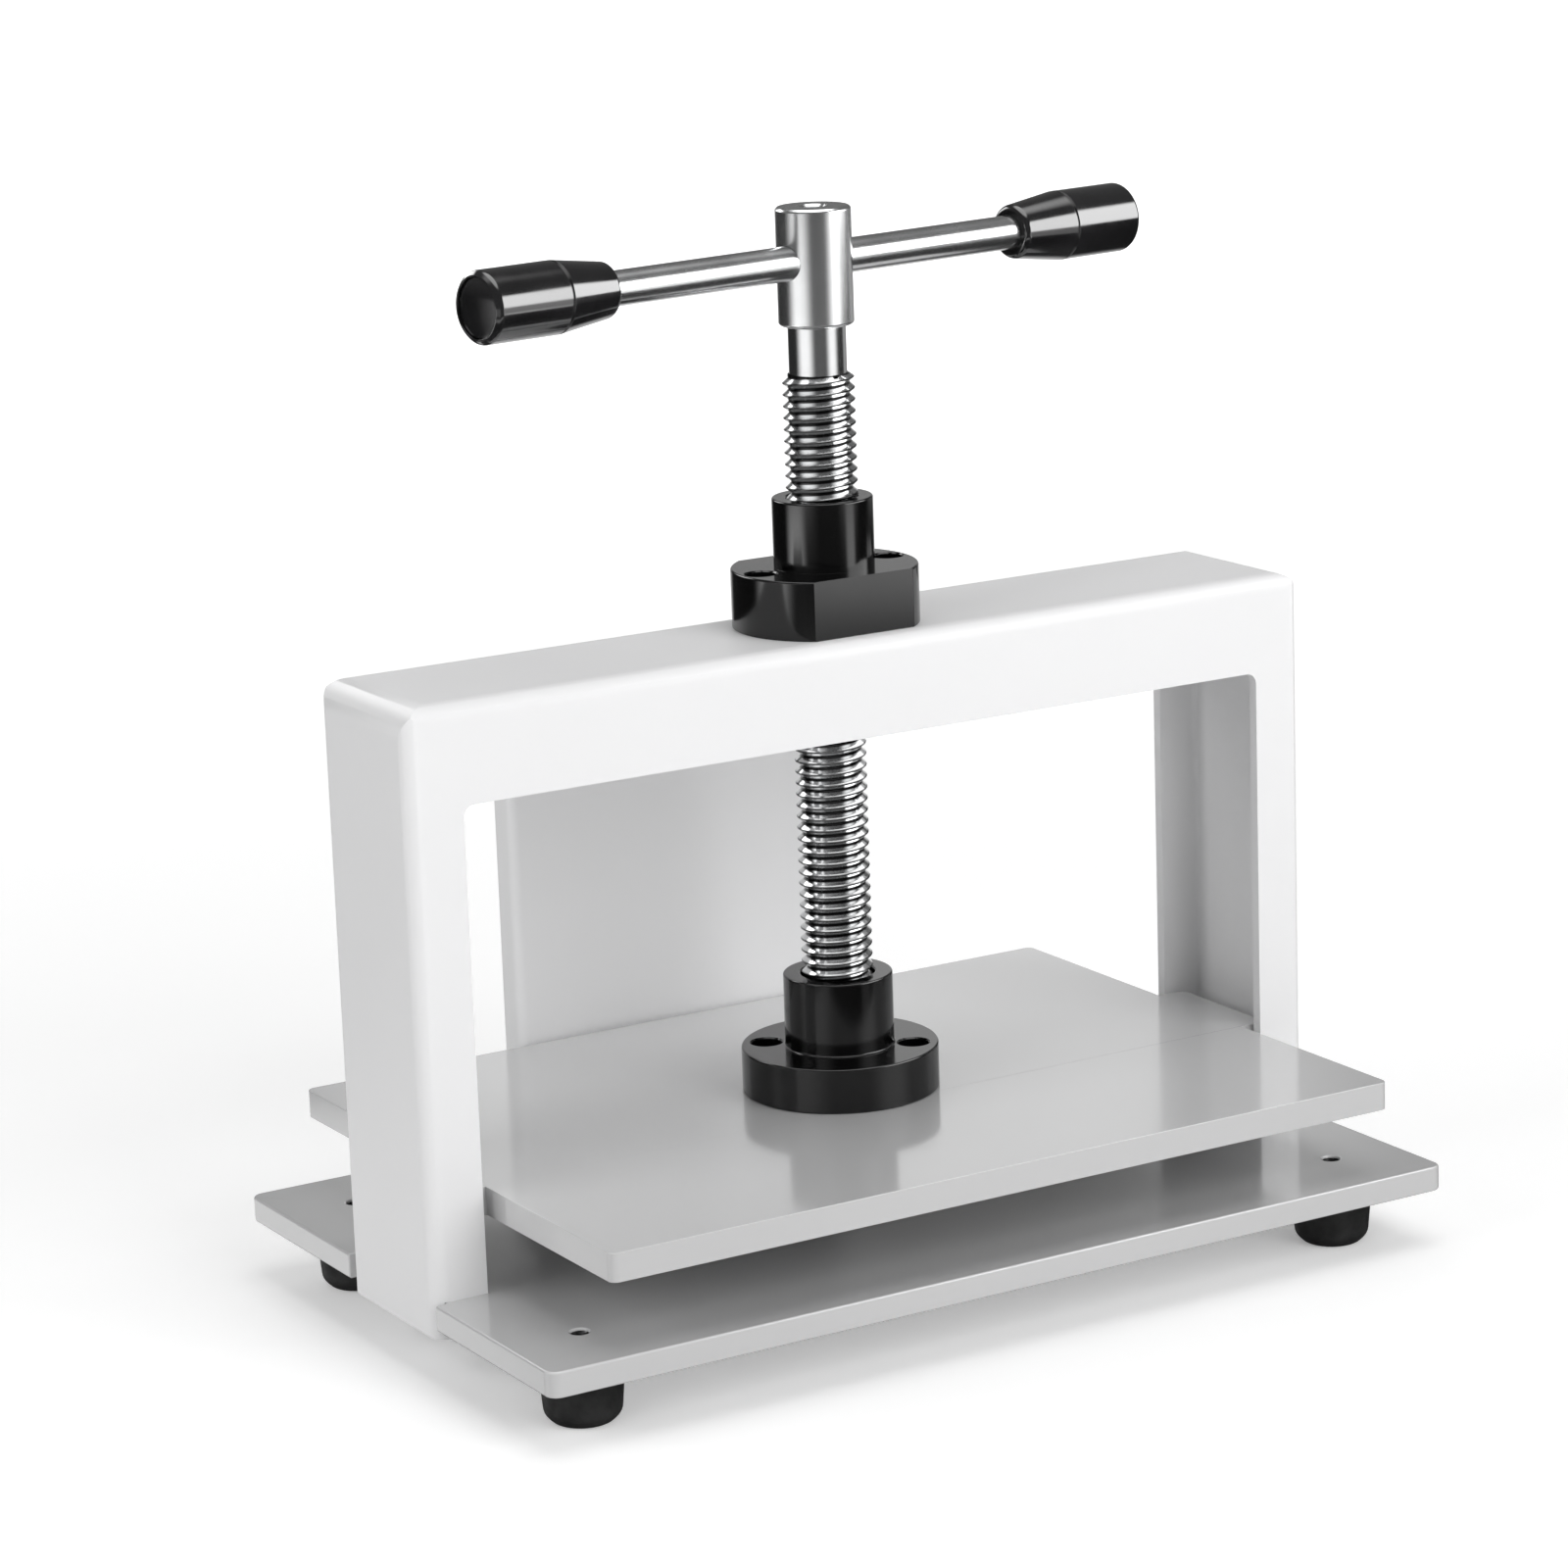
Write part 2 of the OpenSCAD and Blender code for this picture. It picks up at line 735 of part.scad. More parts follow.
module tee_head() {
    head_r = head_d / 2;
    color(bright_steel) at_axis()
        difference() {
            translate([0, 0, head_z])
                rotate_extrude()
                    polygon([
                        [0, 0], [head_r - edge, 0], [head_r, edge], [head_r, head_h - edge],
                        [head_r - edge, head_h], [0, head_h]
                    ]);
            translate([0, 0, head_z - past])
                cylinder(d = tenon_d + 2 * slip_gap, h = rod_rise + past);
            translate([0, 0, rod_z])
                cylinder(d = head_screw_d + 2 * hole_gap, h = head_h);
            translate([0, 0, rod_z])
                rotate([0, 90, handle_turn])
                    cylinder(d = rod_bore_d, h = head_d + 2 * past, center = true);
        }
}

module head_screw() {
    start = rod_z + rod_d / 2 + slip_gap;
    length = head_top - edge - start;
    color(zinc_steel) at_axis() translate([0, 0, start])
        difference() {
            cylinder(d = head_screw_d, h = length);
            translate([0, 0, length / 2])
                hexagon(head_screw_d / 2, length);
        }
}

// Turns a piece drawn along +Z, outward from the screw's axis, onto one arm of the handle
module on_arm(side) {
    at_axis() translate([0, 0, rod_z])
        rotate([0, side * 90, handle_turn])
            children();
}

module handle_rod() {
    rod_r = rod_d / 2;
    color(bright_steel) on_arm(1)
        rotate_extrude()
            polygon([
                [0, -rod_half], [rod_r - edge, -rod_half], [rod_r, edge - rod_half],
                [rod_r, rod_half - edge], [rod_r - edge, rod_half], [0, rod_half]
            ]);
}

module grip(side) {
    grip_r = grip_d / 2;
    tip_r = grip_tip_d / 2;
    bore_r = rod_bore_d / 2;
    seat_r = cap_d / 2 + slip_gap;
    groove_end = grip_taper_l + grip_groove;
    color(black_plastic) on_arm(side) translate([0, 0, handle_l / 2 - grip_l])
        rotate_extrude()
            polygon([
                [bore_r, 0], [tip_r - edge, 0], [tip_r, edge], [grip_r, grip_taper_l],
                [grip_r - grip_groove / 2, grip_taper_l + grip_groove / 2], [grip_r, groove_end],
                [grip_r, grip_l - edge], [grip_r - edge, grip_l],
                [seat_r, grip_l], [seat_r, grip_l - cap_t], [0, grip_l - cap_t],
                [0, grip_bore], [bore_r, grip_bore]
            ]);
}

module grip_left() {
    grip(-1);
}

module grip_right() {
    grip(1);
}

module grip_cap(side) {
    cap_r = cap_d / 2;
    rim = cap_t - cap_dome;
    dome_r = (pow(cap_r, 2) + pow(cap_dome, 2)) / (2 * cap_dome);
    color(black_plastic) on_arm(side) translate([0, 0, handle_l / 2 - cap_t])
        rotate_extrude()
            intersection() {
                square([cap_r, cap_t]);
                translate([0, rim + cap_dome - dome_r])
                    circle(dome_r, $fn = 256);
            }
}

module grip_cap_left() {
    grip_cap(-1);
}

module grip_cap_right() {
    grip_cap(1);
}

base_plate();
rubber_feet();
foot_washers();
foot_screws();
frame();
frame_washers();
frame_bolts();
top_nut();
nut_screws();
nut_washers();
nut_hex_nuts();
rear_stop();
rear_stop_screws();
pressing_plate();
screw_seat();
seat_screws();
thrust_washer();
lead_screw();
retaining_collar();
collar_screw();
tee_head();
head_screw();
handle_rod();
grip_left();
grip_right();
grip_cap_left();
grip_cap_right();
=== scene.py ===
"""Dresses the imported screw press: painted plates, a cut thread, turned black parts and grips, in a plain studio."""

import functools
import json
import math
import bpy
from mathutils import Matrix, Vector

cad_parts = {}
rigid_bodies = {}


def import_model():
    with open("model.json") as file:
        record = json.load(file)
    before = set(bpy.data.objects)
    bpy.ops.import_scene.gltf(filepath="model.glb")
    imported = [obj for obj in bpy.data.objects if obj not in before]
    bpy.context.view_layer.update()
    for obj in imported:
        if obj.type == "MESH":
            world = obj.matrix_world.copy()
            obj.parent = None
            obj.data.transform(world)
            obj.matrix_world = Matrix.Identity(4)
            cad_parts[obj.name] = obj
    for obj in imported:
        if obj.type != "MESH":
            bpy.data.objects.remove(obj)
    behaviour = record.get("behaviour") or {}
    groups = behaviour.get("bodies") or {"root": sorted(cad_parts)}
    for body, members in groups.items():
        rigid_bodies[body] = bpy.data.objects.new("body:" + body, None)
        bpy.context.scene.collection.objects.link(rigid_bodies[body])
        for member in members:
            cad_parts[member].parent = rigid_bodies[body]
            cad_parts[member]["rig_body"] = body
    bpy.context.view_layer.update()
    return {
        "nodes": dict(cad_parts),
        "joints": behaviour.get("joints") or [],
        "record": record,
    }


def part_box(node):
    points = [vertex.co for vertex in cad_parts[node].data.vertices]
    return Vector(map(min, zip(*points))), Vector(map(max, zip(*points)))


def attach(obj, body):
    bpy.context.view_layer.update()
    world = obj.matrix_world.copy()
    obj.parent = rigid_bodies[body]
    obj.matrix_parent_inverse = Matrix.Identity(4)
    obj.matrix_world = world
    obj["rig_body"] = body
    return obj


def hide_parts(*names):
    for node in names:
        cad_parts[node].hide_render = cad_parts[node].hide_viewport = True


bl_info = {
    "name": "Screw press",
    "version": (1, 0, 0),
    "blender": (4, 5, 0),
    "location": "3D View > Sidebar > Press",
    "description": "Models the visible pieces of a bench screw press over its fixed frame and lights them",
    "category": "Object",
}

import bmesh
import bpy
from bpy.props import FloatProperty, FloatVectorProperty, IntProperty, PointerProperty
from mathutils import Matrix, Vector

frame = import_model()

JOINTS = {joint["name"]: joint for joint in frame["joints"]}
AXIS = Vector(JOINTS["screw_turn"]["pos_m"]) * Vector((1, 1, 0))
COUPLING = frame["record"]["behaviour"]["couplings"][0]
PITCH = abs(COUPLING["ratio"]) * 2 * math.pi
TINY = 1e-6  # points nearer than this are one
PAST = 0.002  # how far a cutter runs past a face
SLIP = 0.0001  # play all round where one piece is pushed into another
RUN = 0.00005  # play all round where one piece turns in another
END_GAP = 0.0005  # air at the end of a blind hole
FOOT_RECESS = 0.0068  # radius of the recess for a foot's screw
FOOT_EDGE = 0.0006  # chamfer of a foot's small edges
STOP_RISE = 0.004  # height of the rear stop's side flanges over the base
STOP_LAP = 0.02  # height over which the rear stop's foot runs into its wall
ROUND = 0.0004  # radius of the corners in a turned part's outline
BLACK_BRIM = 0.0004  # chamfer of the black parts' rims
RECESS_MOUTH = 0.0005  # chamfer of the recesses for the socket screws
CHAMBER_GAP = 0.001  # gap round the collar in the seat
THREAD_ROUND = 0.00012  # size of the rounds along the thread's crest and root
LEAD_IN = math.radians(35)  # angle of the chamfer at the thread's ends
SCREW_BRIM = 0.0008  # chamfer of the screw's tail and tenon
CORE_LAP = 0.003  # length over which neck and journal run into the thread's core
HANDLE_BRIM = 0.0009  # chamfer of the head's and the rod's ends
HEAD_EDGE = 0.0004  # radius of the head's edges
HEAD_MOUTH = 0.0008  # chamfer of the set screw's hole in the head
GRIP_TIP_EDGE = 0.0012  # chamfer of a grip's inner end
GRIP_END_EDGE = 0.0016  # chamfer of a grip's outer end
GRIP_ROUND = 0.0008  # radius of the corners in a grip's outline
CAP_LIP = 0.0003  # height of the chamfer round an end cap
CAP_LIP_WIDTH = 0.0002  # width of that chamfer
LIGHT_DISTANCE = 3.0  # distance of the soft boxes from the camera's target


# Sizes and colours

def length(name, text, default):
    """A length in metres that shows in the sidebar."""
    return FloatProperty(name=name, description=text, default=default, min=0.0, unit="LENGTH", precision=4)


def colour(name, text, default):
    """A surface colour that shows in the sidebar."""
    return FloatVectorProperty(name=name, description=text, default=default, subtype="COLOR", size=3, min=0.0, max=1.0)


def amount(name, text, default, high=1.0):
    """A plain number that shows in the sidebar."""
    return FloatProperty(name=name, description=text, default=default, min=0.0, max=high)


def turn(name, text, default):
    """An angle that shows in the sidebar."""
    return FloatProperty(name=name, description=text, default=math.radians(default), subtype="ANGLE", unit="ROTATION")


class PressSizes(bpy.types.PropertyGroup):
    """Sizes of the press that its boxes in the frame do not give."""

    plate_length: length("Plate length", "Length of the pressing plate between its two ears", 0.310)
    ear_width: length("Ear width", "Width of the ears that run in the legs", 0.052)
    plate_corner: length("Plate corner", "Radius of the pressing plate's corners", 0.003)
    ear_corner: length("Ear corner", "Radius of the ears' corners", 0.003)
    base_corner: length("Base corner", "Radius of the base's corners", 0.0045)
    notch_width: length("Notch width", "Width of the base's end notches", 0.065)
    foot_hole: length("Foot screw hole", "Diameter of the holes over the feet", 0.0063)
    foot_pitch: length("Foot thread pitch", "Pitch of the thread in those holes", 0.001)
    foot_thread: length("Foot thread depth", "Depth of the thread in those holes", 0.0002)
    foot_top: length("Foot diameter", "Diameter of a foot under the base", 0.029)
    foot_floor: length("Foot floor diameter", "Diameter of a foot on the floor", 0.026)
    foot_rim: length("Foot rim", "Radius of a foot's lower edge", 0.003)
    sheet: length("Portal sheet", "Thickness of the portal's sheet", 0.004)
    bend: length("Long bends", "Outer radius of the portal's long bends", 0.006)
    shoulder: length("Shoulders", "Outer radius of the bends between beam and legs", 0.010)
    foot_corner: length("Foot corners", "Outer radius of the welded corners under the base", 0.001)
    leg_width: length("Leg width", "Width of a leg, seen from the front", 0.020)
    beam_height: length("Beam height", "Height of the beam, seen from the front", 0.0345)
    window_corner: length("Window corner", "Radius of the window's upper corners", 0.004)
    return_length: length("Returns", "Length of the sheet turned in under the base", 0.042)
    bolt_inset: length("Bolt inset", "Distance of the bolts from the outside of their leg", 0.024)
    bolt_span: length("Bolt span", "Distance between the two bolts of a leg", 0.036)
    bolt_hole: length("Bolt hole", "Diameter of the bolts' holes", 0.0083)
    stop_sheet: length("Stop sheet", "Thickness of the rear stop's sheet", 0.0025)
    stop_bend: length("Stop bends", "Outer radius of the rear stop's bends", 0.0035)
    stop_return: length("Stop return", "Length of the rear stop's flange under the base", 0.030)
    stop_screw_span: length("Stop screws", "Distance between the rear stop's screws", 0.090)
    stop_hole: length("Stop screw hole", "Diameter of the rear stop's screw holes", 0.0053)
    painted_edge: length("Painted edges", "Radius of the plates' edges under the paint", 0.0009)
    sheet_edge: length("Sheet edges", "Radius of the cut edges of the sheets", 0.0007)
    turned_edge: length("Turned edges", "Radius of the edges of turned parts", 0.0003)
    nut_flange: length("Nut flange", "Thickness of the nut's flange", 0.0205)
    nut_boss: length("Nut boss", "Diameter of the nut's boss", 0.035)
    nut_spigot: length("Nut spigot", "Diameter of the nut's spigot", 0.034)
    nut_screw_span: length("Nut screws", "Distance between the nut's screws", 0.051)
    nut_screw_floor: length("Nut screw floor", "Metal under the heads of the nut's screws", 0.008)
    seat_flange: length("Seat flange", "Thickness of the seat's flange", 0.016)
    seat_boss: length("Seat boss", "Diameter of the seat's boss", 0.0385)
    seat_mouth: length("Seat mouth", "Diameter of the mouth that the thread runs into", 0.026)
    seat_mouth_depth: length("Seat mouth depth", "Depth of that mouth", 0.008)
    mouth_gap: length("Mouth gap", "Gap under the thread in that mouth", 0.0005)
    seat_screw_span: length("Seat screws", "Distance between the seat's screws", 0.052)
    seat_screw_floor: length("Seat screw floor", "Metal under the heads of the seat's screws", 0.006)
    seat_turn: turn("Seat turn", "Angle of the seat's screws from the X axis", -37.5)
    head_recess: length("Head recess", "Diameter of the recesses for the socket screws", 0.011)
    screw_hole: length("Socket screw hole", "Diameter of the socket screws' holes", 0.0063)
    thread_depth: length("Thread depth", "Depth of the screw's thread", 0.0020)
    crest: length("Thread crest", "Width of the thread's crest", 0.0004)
    root: length("Thread root", "Width of the thread's root", 0.0004)
    neck: length("Neck", "Diameter of the plain neck under the head", 0.020)
    neck_length: length("Neck length", "Length of the plain neck", 0.0165)
    journal: length("Journal", "Diameter of the journal in the seat", 0.020)
    tail: length("Tail", "Diameter of the tail and the tenon", 0.014)
    rod_bore: length("Rod bore", "Diameter of the bore across the head", 0.0122)
    head_screw: length("Head screw hole", "Diameter of the set screw's hole in the head", 0.0083)
    grip_tip: length("Grip tip", "Diameter of a grip's inner end", 0.019)
    grip_body: length("Grip body", "Diameter of a grip", 0.0245)
    grip_taper: length("Grip taper", "Length of a grip's tapered part", 0.022)
    grip_groove: length("Grip groove", "Width of the groove at the end of the taper", 0.0008)
    cap: length("Grip cap", "Diameter of a grip's end cap", 0.020)
    cap_depth: length("Cap depth", "Depth of the end cap in its grip", 0.003)
    cap_dome: length("Cap dome", "Height of the end cap's dome", 0.0008)
    round_steps: IntProperty(name="Round steps", description="Faces round a turned piece", default=96, min=24, max=256)


class PressColours(bpy.types.PropertyGroup):
    """Colours of the press's finishes."""

    paint: colour("Frame coat", "Colour of the portal and the rear stop", (0.79, 0.79, 0.795))
    # The plates' white paint; its greyer tone than the frame coat is painted shade.
    shaded_plate_paint: colour("Shaded plate coat", "Colour of the base and the pressing plate", (0.55, 0.55, 0.553))
    blackened: colour("Blackened steel", "Colour of the nut and the seat", (0.002, 0.002, 0.0021))
    steel: colour("Bright steel", "Colour of the screw, head and rod", (0.74, 0.745, 0.75))
    zinc: colour("Zinc plate", "Colour of the plated fasteners", (0.52, 0.54, 0.56))
    phenolic: colour("Grip plastic", "Colour of the moulded grips", (0.006, 0.006, 0.0065))
    rubber: colour("Rubber", "Colour of the feet", (0.012, 0.012, 0.012))
    brass: colour("Brass", "Colour of the thrust washer", (0.66, 0.45, 0.16))
    floor: colour("Floor", "Colour of the studio floor", (0.90, 0.90, 0.90))


class PressStage(bpy.types.PropertyGroup):
    """Camera and lights of the studio."""

    target: FloatVectorProperty(name="Target", description="Point that the camera looks at",
                                default=(0.0050, 0.0346, 0.1659), subtype="XYZ", unit="LENGTH")
    distance: length("Distance", "Distance of the camera from its target", 1.73526)
    azimuth: turn("Azimuth", "Angle of the camera round the press, from the front", -30.418)
    elevation: turn("Elevation", "Angle of the camera above the horizon", 13.37)
    roll: turn("Roll", "Tilt of the picture", -2.01)
    lens: amount("Lens", "Focal length in millimetres on a 36 mm sensor", 112.04, 1000.0)
    key: amount("Key light", "Power of the soft box in front in watts", 59.0, 1000.0)
    fill: amount("Fill light", "Power of the soft box at the left in watts", 29.0, 1000.0)
    top: amount("Top light", "Power of the soft box above in watts", 25.0, 1000.0)
    back: amount("Back light", "Power of the soft box behind in watts", 16.0, 1000.0)
    sky: amount("Sky", "Brightness of the studio round the press", 0.25, 10.0)
    sky_gloss: amount("Sky in reflections", "Brightness of the studio as glossy surfaces see it", 0.15, 10.0)
    zenith: amount("Zenith", "Brightness that glossy surfaces see straight above on top of that", 2.5, 10.0)
    depth_gloss: amount("Depth in reflections", "Brightness that glossy surfaces see below the floor", 0.06, 10.0)
    floor_glow: amount("Floor glow", "Light that the lit floor gives by itself", 0.10, 10.0)
    floor_near: amount("Near floor", "Light that only the camera sees on the floor by the press", 0.16, 10.0)
    floor_far: amount("Far floor", "Light that only the camera sees on the floor far off", 0.80, 10.0)
    tent_radius: length("Tent radius", "Radius of the wall that shiny pieces mirror", 0.62)
    tent_low: amount("Tent depth", "Depth of that wall under the floor in metres", 0.25)
    tent_high: amount("Tent height", "Height of that wall over the floor in metres", 0.33)
    tent: amount("Tent", "Brightness of that wall between its bright strips", 0.03, 10.0)
    strips: amount("Strips", "Brightness of the wall's bright strips", 1.3, 100.0)
    overhead: amount("Overhead card", "Brightness of the high card that the grips mirror", 7.0, 100.0)
    beam: amount("Beam card", "Brightness of the card under the beam that the thread mirrors", 1.6, 100.0)
    rear: amount("Rear card", "Brightness of the high card that the left shoulder mirrors", 4.5, 100.0)


def sizes():
    """The sizes set on the scene."""
    return bpy.context.scene.press_sizes


def colours():
    """The colours set on the scene."""
    return bpy.context.scene.press_colours


# Modelling by hand

def only(piece):
    """Makes a piece the one selected and active object."""
    if bpy.context.mode != "OBJECT":
        bpy.ops.object.mode_set(mode="OBJECT")
    bpy.ops.object.select_all(action="DESELECT")
    piece.select_set(True)
    bpy.context.view_layer.objects.active = piece


def added(operator, name, **settings):
    """A new object from one of Blender's add operators, with a name."""
    bpy.ops.object.select_all(action="DESELECT")
    operator(**settings)
    bpy.context.active_object.name = name
    return bpy.context.active_object


def settle(piece):
    """Puts a piece's place, turn and scale into its mesh."""
    only(piece)
    bpy.ops.object.transform_apply(location=True, rotation=True, scale=True)


def open_mesh(piece, mode="VERT", action="SELECT"):
    """Enters edit mode on a piece with all or nothing selected."""
    only(piece)
    bpy.ops.object.mode_set(mode="EDIT")
    bpy.ops.mesh.select_mode(type=mode)
    bpy.ops.mesh.select_all(action=action)


def close_mesh():
    """Leaves edit mode."""
    bpy.ops.object.mode_set(mode="OBJECT")


def pick_edges(piece, wanted):
    """Selects the edges whose two ends pass a test."""
    mesh = bmesh.from_edit_mesh(piece.data)
    count = 0
    for edge in mesh.edges:
        chosen = wanted(*(corner.co for corner in edge.verts))
        edge.select_set(chosen)
        count += chosen
    bmesh.update_edit_mesh(piece.data)
    if not count:
        raise RuntimeError(f"no edge of {piece.name} passed the test")


def run_modifier(piece, kind, **settings):
    """Adds a modifier to a piece and applies it."""
    only(piece)
    modifier = piece.modifiers.new(kind, kind)
    for name, value in settings.items():
        setattr(modifier, name, value)
    bpy.ops.object.modifier_apply(modifier=modifier.name)


def combine(piece, tool, operation):
    """Cuts, joins or intersects a piece with a tool, which is used up."""
    run_modifier(piece, "BOOLEAN", operation=operation, solver="EXACT", object=tool)
    bpy.data.objects.remove(tool)
    return piece


def cut(piece, *tools):
    """Cuts tools out of a piece."""
    for tool in tools:
        combine(piece, tool, "DIFFERENCE")
    return piece


def slice_off(piece, point, normal):
    """Takes away what lies beyond a plane and closes the cut."""
    open_mesh(piece)
    bpy.ops.mesh.remove_doubles(threshold=TINY)
    bpy.ops.mesh.bisect(plane_co=point, plane_no=normal, use_fill=True, clear_outer=True)
    bpy.ops.mesh.select_all(action="SELECT")
    bpy.ops.mesh.normals_make_consistent(inside=False)
    close_mesh()


def soften(piece, radius, segments=3, sharp=38.0, flat=0.3):
    """Rounds the sharp edges of a piece and shades the rest smooth."""
    open_mesh(piece)
    bpy.ops.mesh.remove_doubles(threshold=TINY)
    bpy.ops.mesh.dissolve_limited(angle_limit=math.radians(flat))
    bpy.ops.mesh.normals_make_consistent(inside=False)
    close_mesh()
    run_modifier(piece, "BEVEL", width=radius, segments=segments, limit_method="ANGLE",
                 angle_limit=math.radians(sharp), use_clamp_overlap=True, miter_outer="MITER_ARC")
    smooth(piece)


def smooth(piece, sharp=32.0):
    """Shades a piece smooth up to an angle, with flat faces kept flat."""
    only(piece)
    bpy.ops.object.shade_smooth_by_angle(angle=math.radians(sharp))
    run_modifier(piece, "WEIGHTED_NORMAL", keep_sharp=True, weight=80)


def both(second, radius):
    """For a block, the radius of its two edges on one side of the second axis."""
    return {(-1, second): radius, (1, second): radius}


def block(name, low, high, along=None, radii=None, steps=10):
    """A block between two corners, with the edges along one axis rounded.

    radii maps the signs of the two other axes to a radius, and (0, 0) stands for all four edges. An edge whose radius
    is not above 0 stays sharp.
    """
    middle = (Vector(low) + Vector(high)) / 2
    piece = added(bpy.ops.mesh.primitive_cube_add, name, size=1, location=middle)
    piece.scale = Vector(high) - Vector(low)
    settle(piece)
    if along is None:
        return piece
    others = [axis for axis in range(3) if axis != along]

    def on_edge(side, other):
        def wanted(start, end):
            upright = abs(start[along] - end[along]) > TINY
            level = all(abs(start[axis] - end[axis]) < TINY for axis in others)
            here = [math.copysign(1, start[axis] - middle[axis]) for axis in others]
            return upright and level and side in (0, here[0]) and other in (0, here[1])
        return wanted

    for (side, other), radius in radii.items():
        if radius <= 0:
            continue
        open_mesh(piece, "EDGE", "DESELECT")
        pick_edges(piece, on_edge(side, other))
        bpy.ops.mesh.bevel(offset=radius, offset_type="OFFSET", segments=steps, affect="EDGES", clamp_overlap=False)
        close_mesh()
    return piece


def draw(name, outline):
    """A chain of edges through radius and height pairs in the XZ plane, left in edit mode."""
    radius, height = outline[0]
    piece = added(bpy.ops.mesh.primitive_plane_add, name, size=0.001, location=(radius, 0, height))
    settle(piece)
    open_mesh(piece)
    bpy.ops.mesh.merge(type="CENTER")
    for (r0, h0), (r1, h1) in zip(outline, outline[1:]):
        bpy.ops.mesh.extrude_region_move(TRANSFORM_OT_translate={"value": (r1 - r0, 0, h1 - h0)})
    return piece


def lathe(name, outline, steps=None):
    """Turns an outline of radius and height pairs round the Z axis of the row frame."""
    piece = draw(name, outline)
    bpy.ops.mesh.select_all(action="SELECT")
    bpy.ops.mesh.remove_doubles(threshold=TINY)
    bpy.ops.mesh.spin(steps=steps or sizes().round_steps, angle=2 * math.pi, center=(0, 0, 0), axis=(0, 0, 1))
    bpy.ops.mesh.select_all(action="SELECT")
    bpy.ops.mesh.remove_doubles(threshold=TINY)
    bpy.ops.mesh.normals_make_consistent(inside=False)
    close_mesh()
    return piece


def place(piece, matrix):
    """Moves a finished mesh by a matrix and keeps its object at the origin."""
    piece.matrix_world = matrix
    settle(piece)
    return piece


def on_axis(piece):
    """Moves a piece turned round Z onto the screw's axis."""
    return place(piece, Matrix.Translation(AXIS))


def copy_of(piece, name, matrix):
    """A copy of a piece with its own mesh, moved by a matrix."""
    only(piece)
    bpy.ops.object.duplicate()
    twin = bpy.context.active_object
    twin.name = name
    return place(twin, matrix)


def join(pieces, name):
    """Joins pieces into one object."""
    only(pieces[0])
    for piece in pieces[1:]:
        piece.select_set(True)
    bpy.ops.object.join()
    bpy.context.active_object.name = name
    return bpy.context.active_object


def rounded(outline, radius, steps=4):
    """An outline of radius and height pairs with its inner corners rounded."""
    most, straight = 0.45, 0.999  # of a side's length, and the cosine over which there is no corner
    points = [Vector(point) for point in outline]
    result = [points[0]]
    for before, here, after in zip(points, points[1:], points[2:]):
        back, on = before - here, after - here
        reach = min(radius, back.length * most, on.length * most)
        start, end = here + back.normalized() * reach, here + on.normalized() * reach
        if abs(back.normalized().dot(on.normalized())) > straight or reach < TINY:
            result.append(here)
            continue
        for step in range(steps + 1):
            t = step / steps
            result.append(start * (1 - t) ** 2 + here * 2 * t * (1 - t) + end * t ** 2)
    result.append(points[-1])
    return [tuple(point) for point in result]


def drill(diameter, low, high, spot, chamfer=0.0):
    """An upright cutter for a round hole, with a chamfer at its upper mouth."""
    radius = diameter / 2
    mouth = radius
    outline = [(0, low), (radius, low), (radius, high - chamfer)]
    if chamfer:
        outline.append((radius + chamfer, high))
        mouth += chamfer + PAST
    outline += [(mouth, high + PAST), (0, high + PAST)]
    return place(lathe("drill", outline, steps=48), Matrix.Translation((spot[0], spot[1], 0)))


def pair(span, angle=0.0):
    """Two places on a line through the screw's axis."""
    arm = Vector((math.cos(angle), math.sin(angle), 0)) * span / 2
    return [AXIS - arm, AXIS + arm]


def half_width(node):
    """Half a node's width."""
    low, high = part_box(node)
    return (high.x - low.x) / 2


def hand_over(piece, slot, material, *nodes):
    """Gives a finished piece its material, its body and the nodes that it stands for."""
    piece.name = f"{nodes[0]}_dressed"
    piece.data.name = piece.name
    piece.data.materials.clear()
    piece.data.materials.append(material)
    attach(piece, frame["nodes"][nodes[0]]["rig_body"])
    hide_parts(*nodes)
    return piece


# Finishes

def put(tree, socket, value):
    """Sets an input to a value, or links it to another node's output."""
    if isinstance(value, bpy.types.NodeSocket):
        tree.links.new(value, socket)
    else:
        socket.default_value = value


def add(tree, kind, sockets=None, **settings):
    """A node with its settings and inputs."""
    node = tree.nodes.new(kind)
    for name, value in settings.items():
        setattr(node, name, value)
    for name, value in (sockets or {}).items():
        put(tree, node.inputs[name], value)
    return node


def maths(tree, operation, *inputs):
    """The result of a Math node."""
    return add(tree, "ShaderNodeMath", dict(enumerate(inputs)), operation=operation).outputs["Value"]


def ease(tree, value, start, end, low=0.0, high=1.0):
    """A value led smoothly from one range to another."""
    return add(tree, "ShaderNodeMapRange", {
        "Value": value, "From Min": start, "From Max": end, "To Min": low, "To Max": high,
    }, interpolation_type="SMOOTHSTEP").outputs["Result"]


def split(tree, vector):
    """The X, Y and Z of a vector."""
    return add(tree, "ShaderNodeSeparateXYZ", {"Vector": vector}).outputs


def axis_distance(tree, coordinates):
    """Distance of a point from the Z axis."""
    level = add(tree, "ShaderNodeVectorMath", {0: coordinates, 1: (1, 1, 0)}, operation="MULTIPLY")
    return add(tree, "ShaderNodeVectorMath", {0: level.outputs["Vector"]}, operation="LENGTH").outputs["Value"]


def titled(build):
    """A function's name as a title."""
    return build.__name__.replace("_", " ").capitalize()


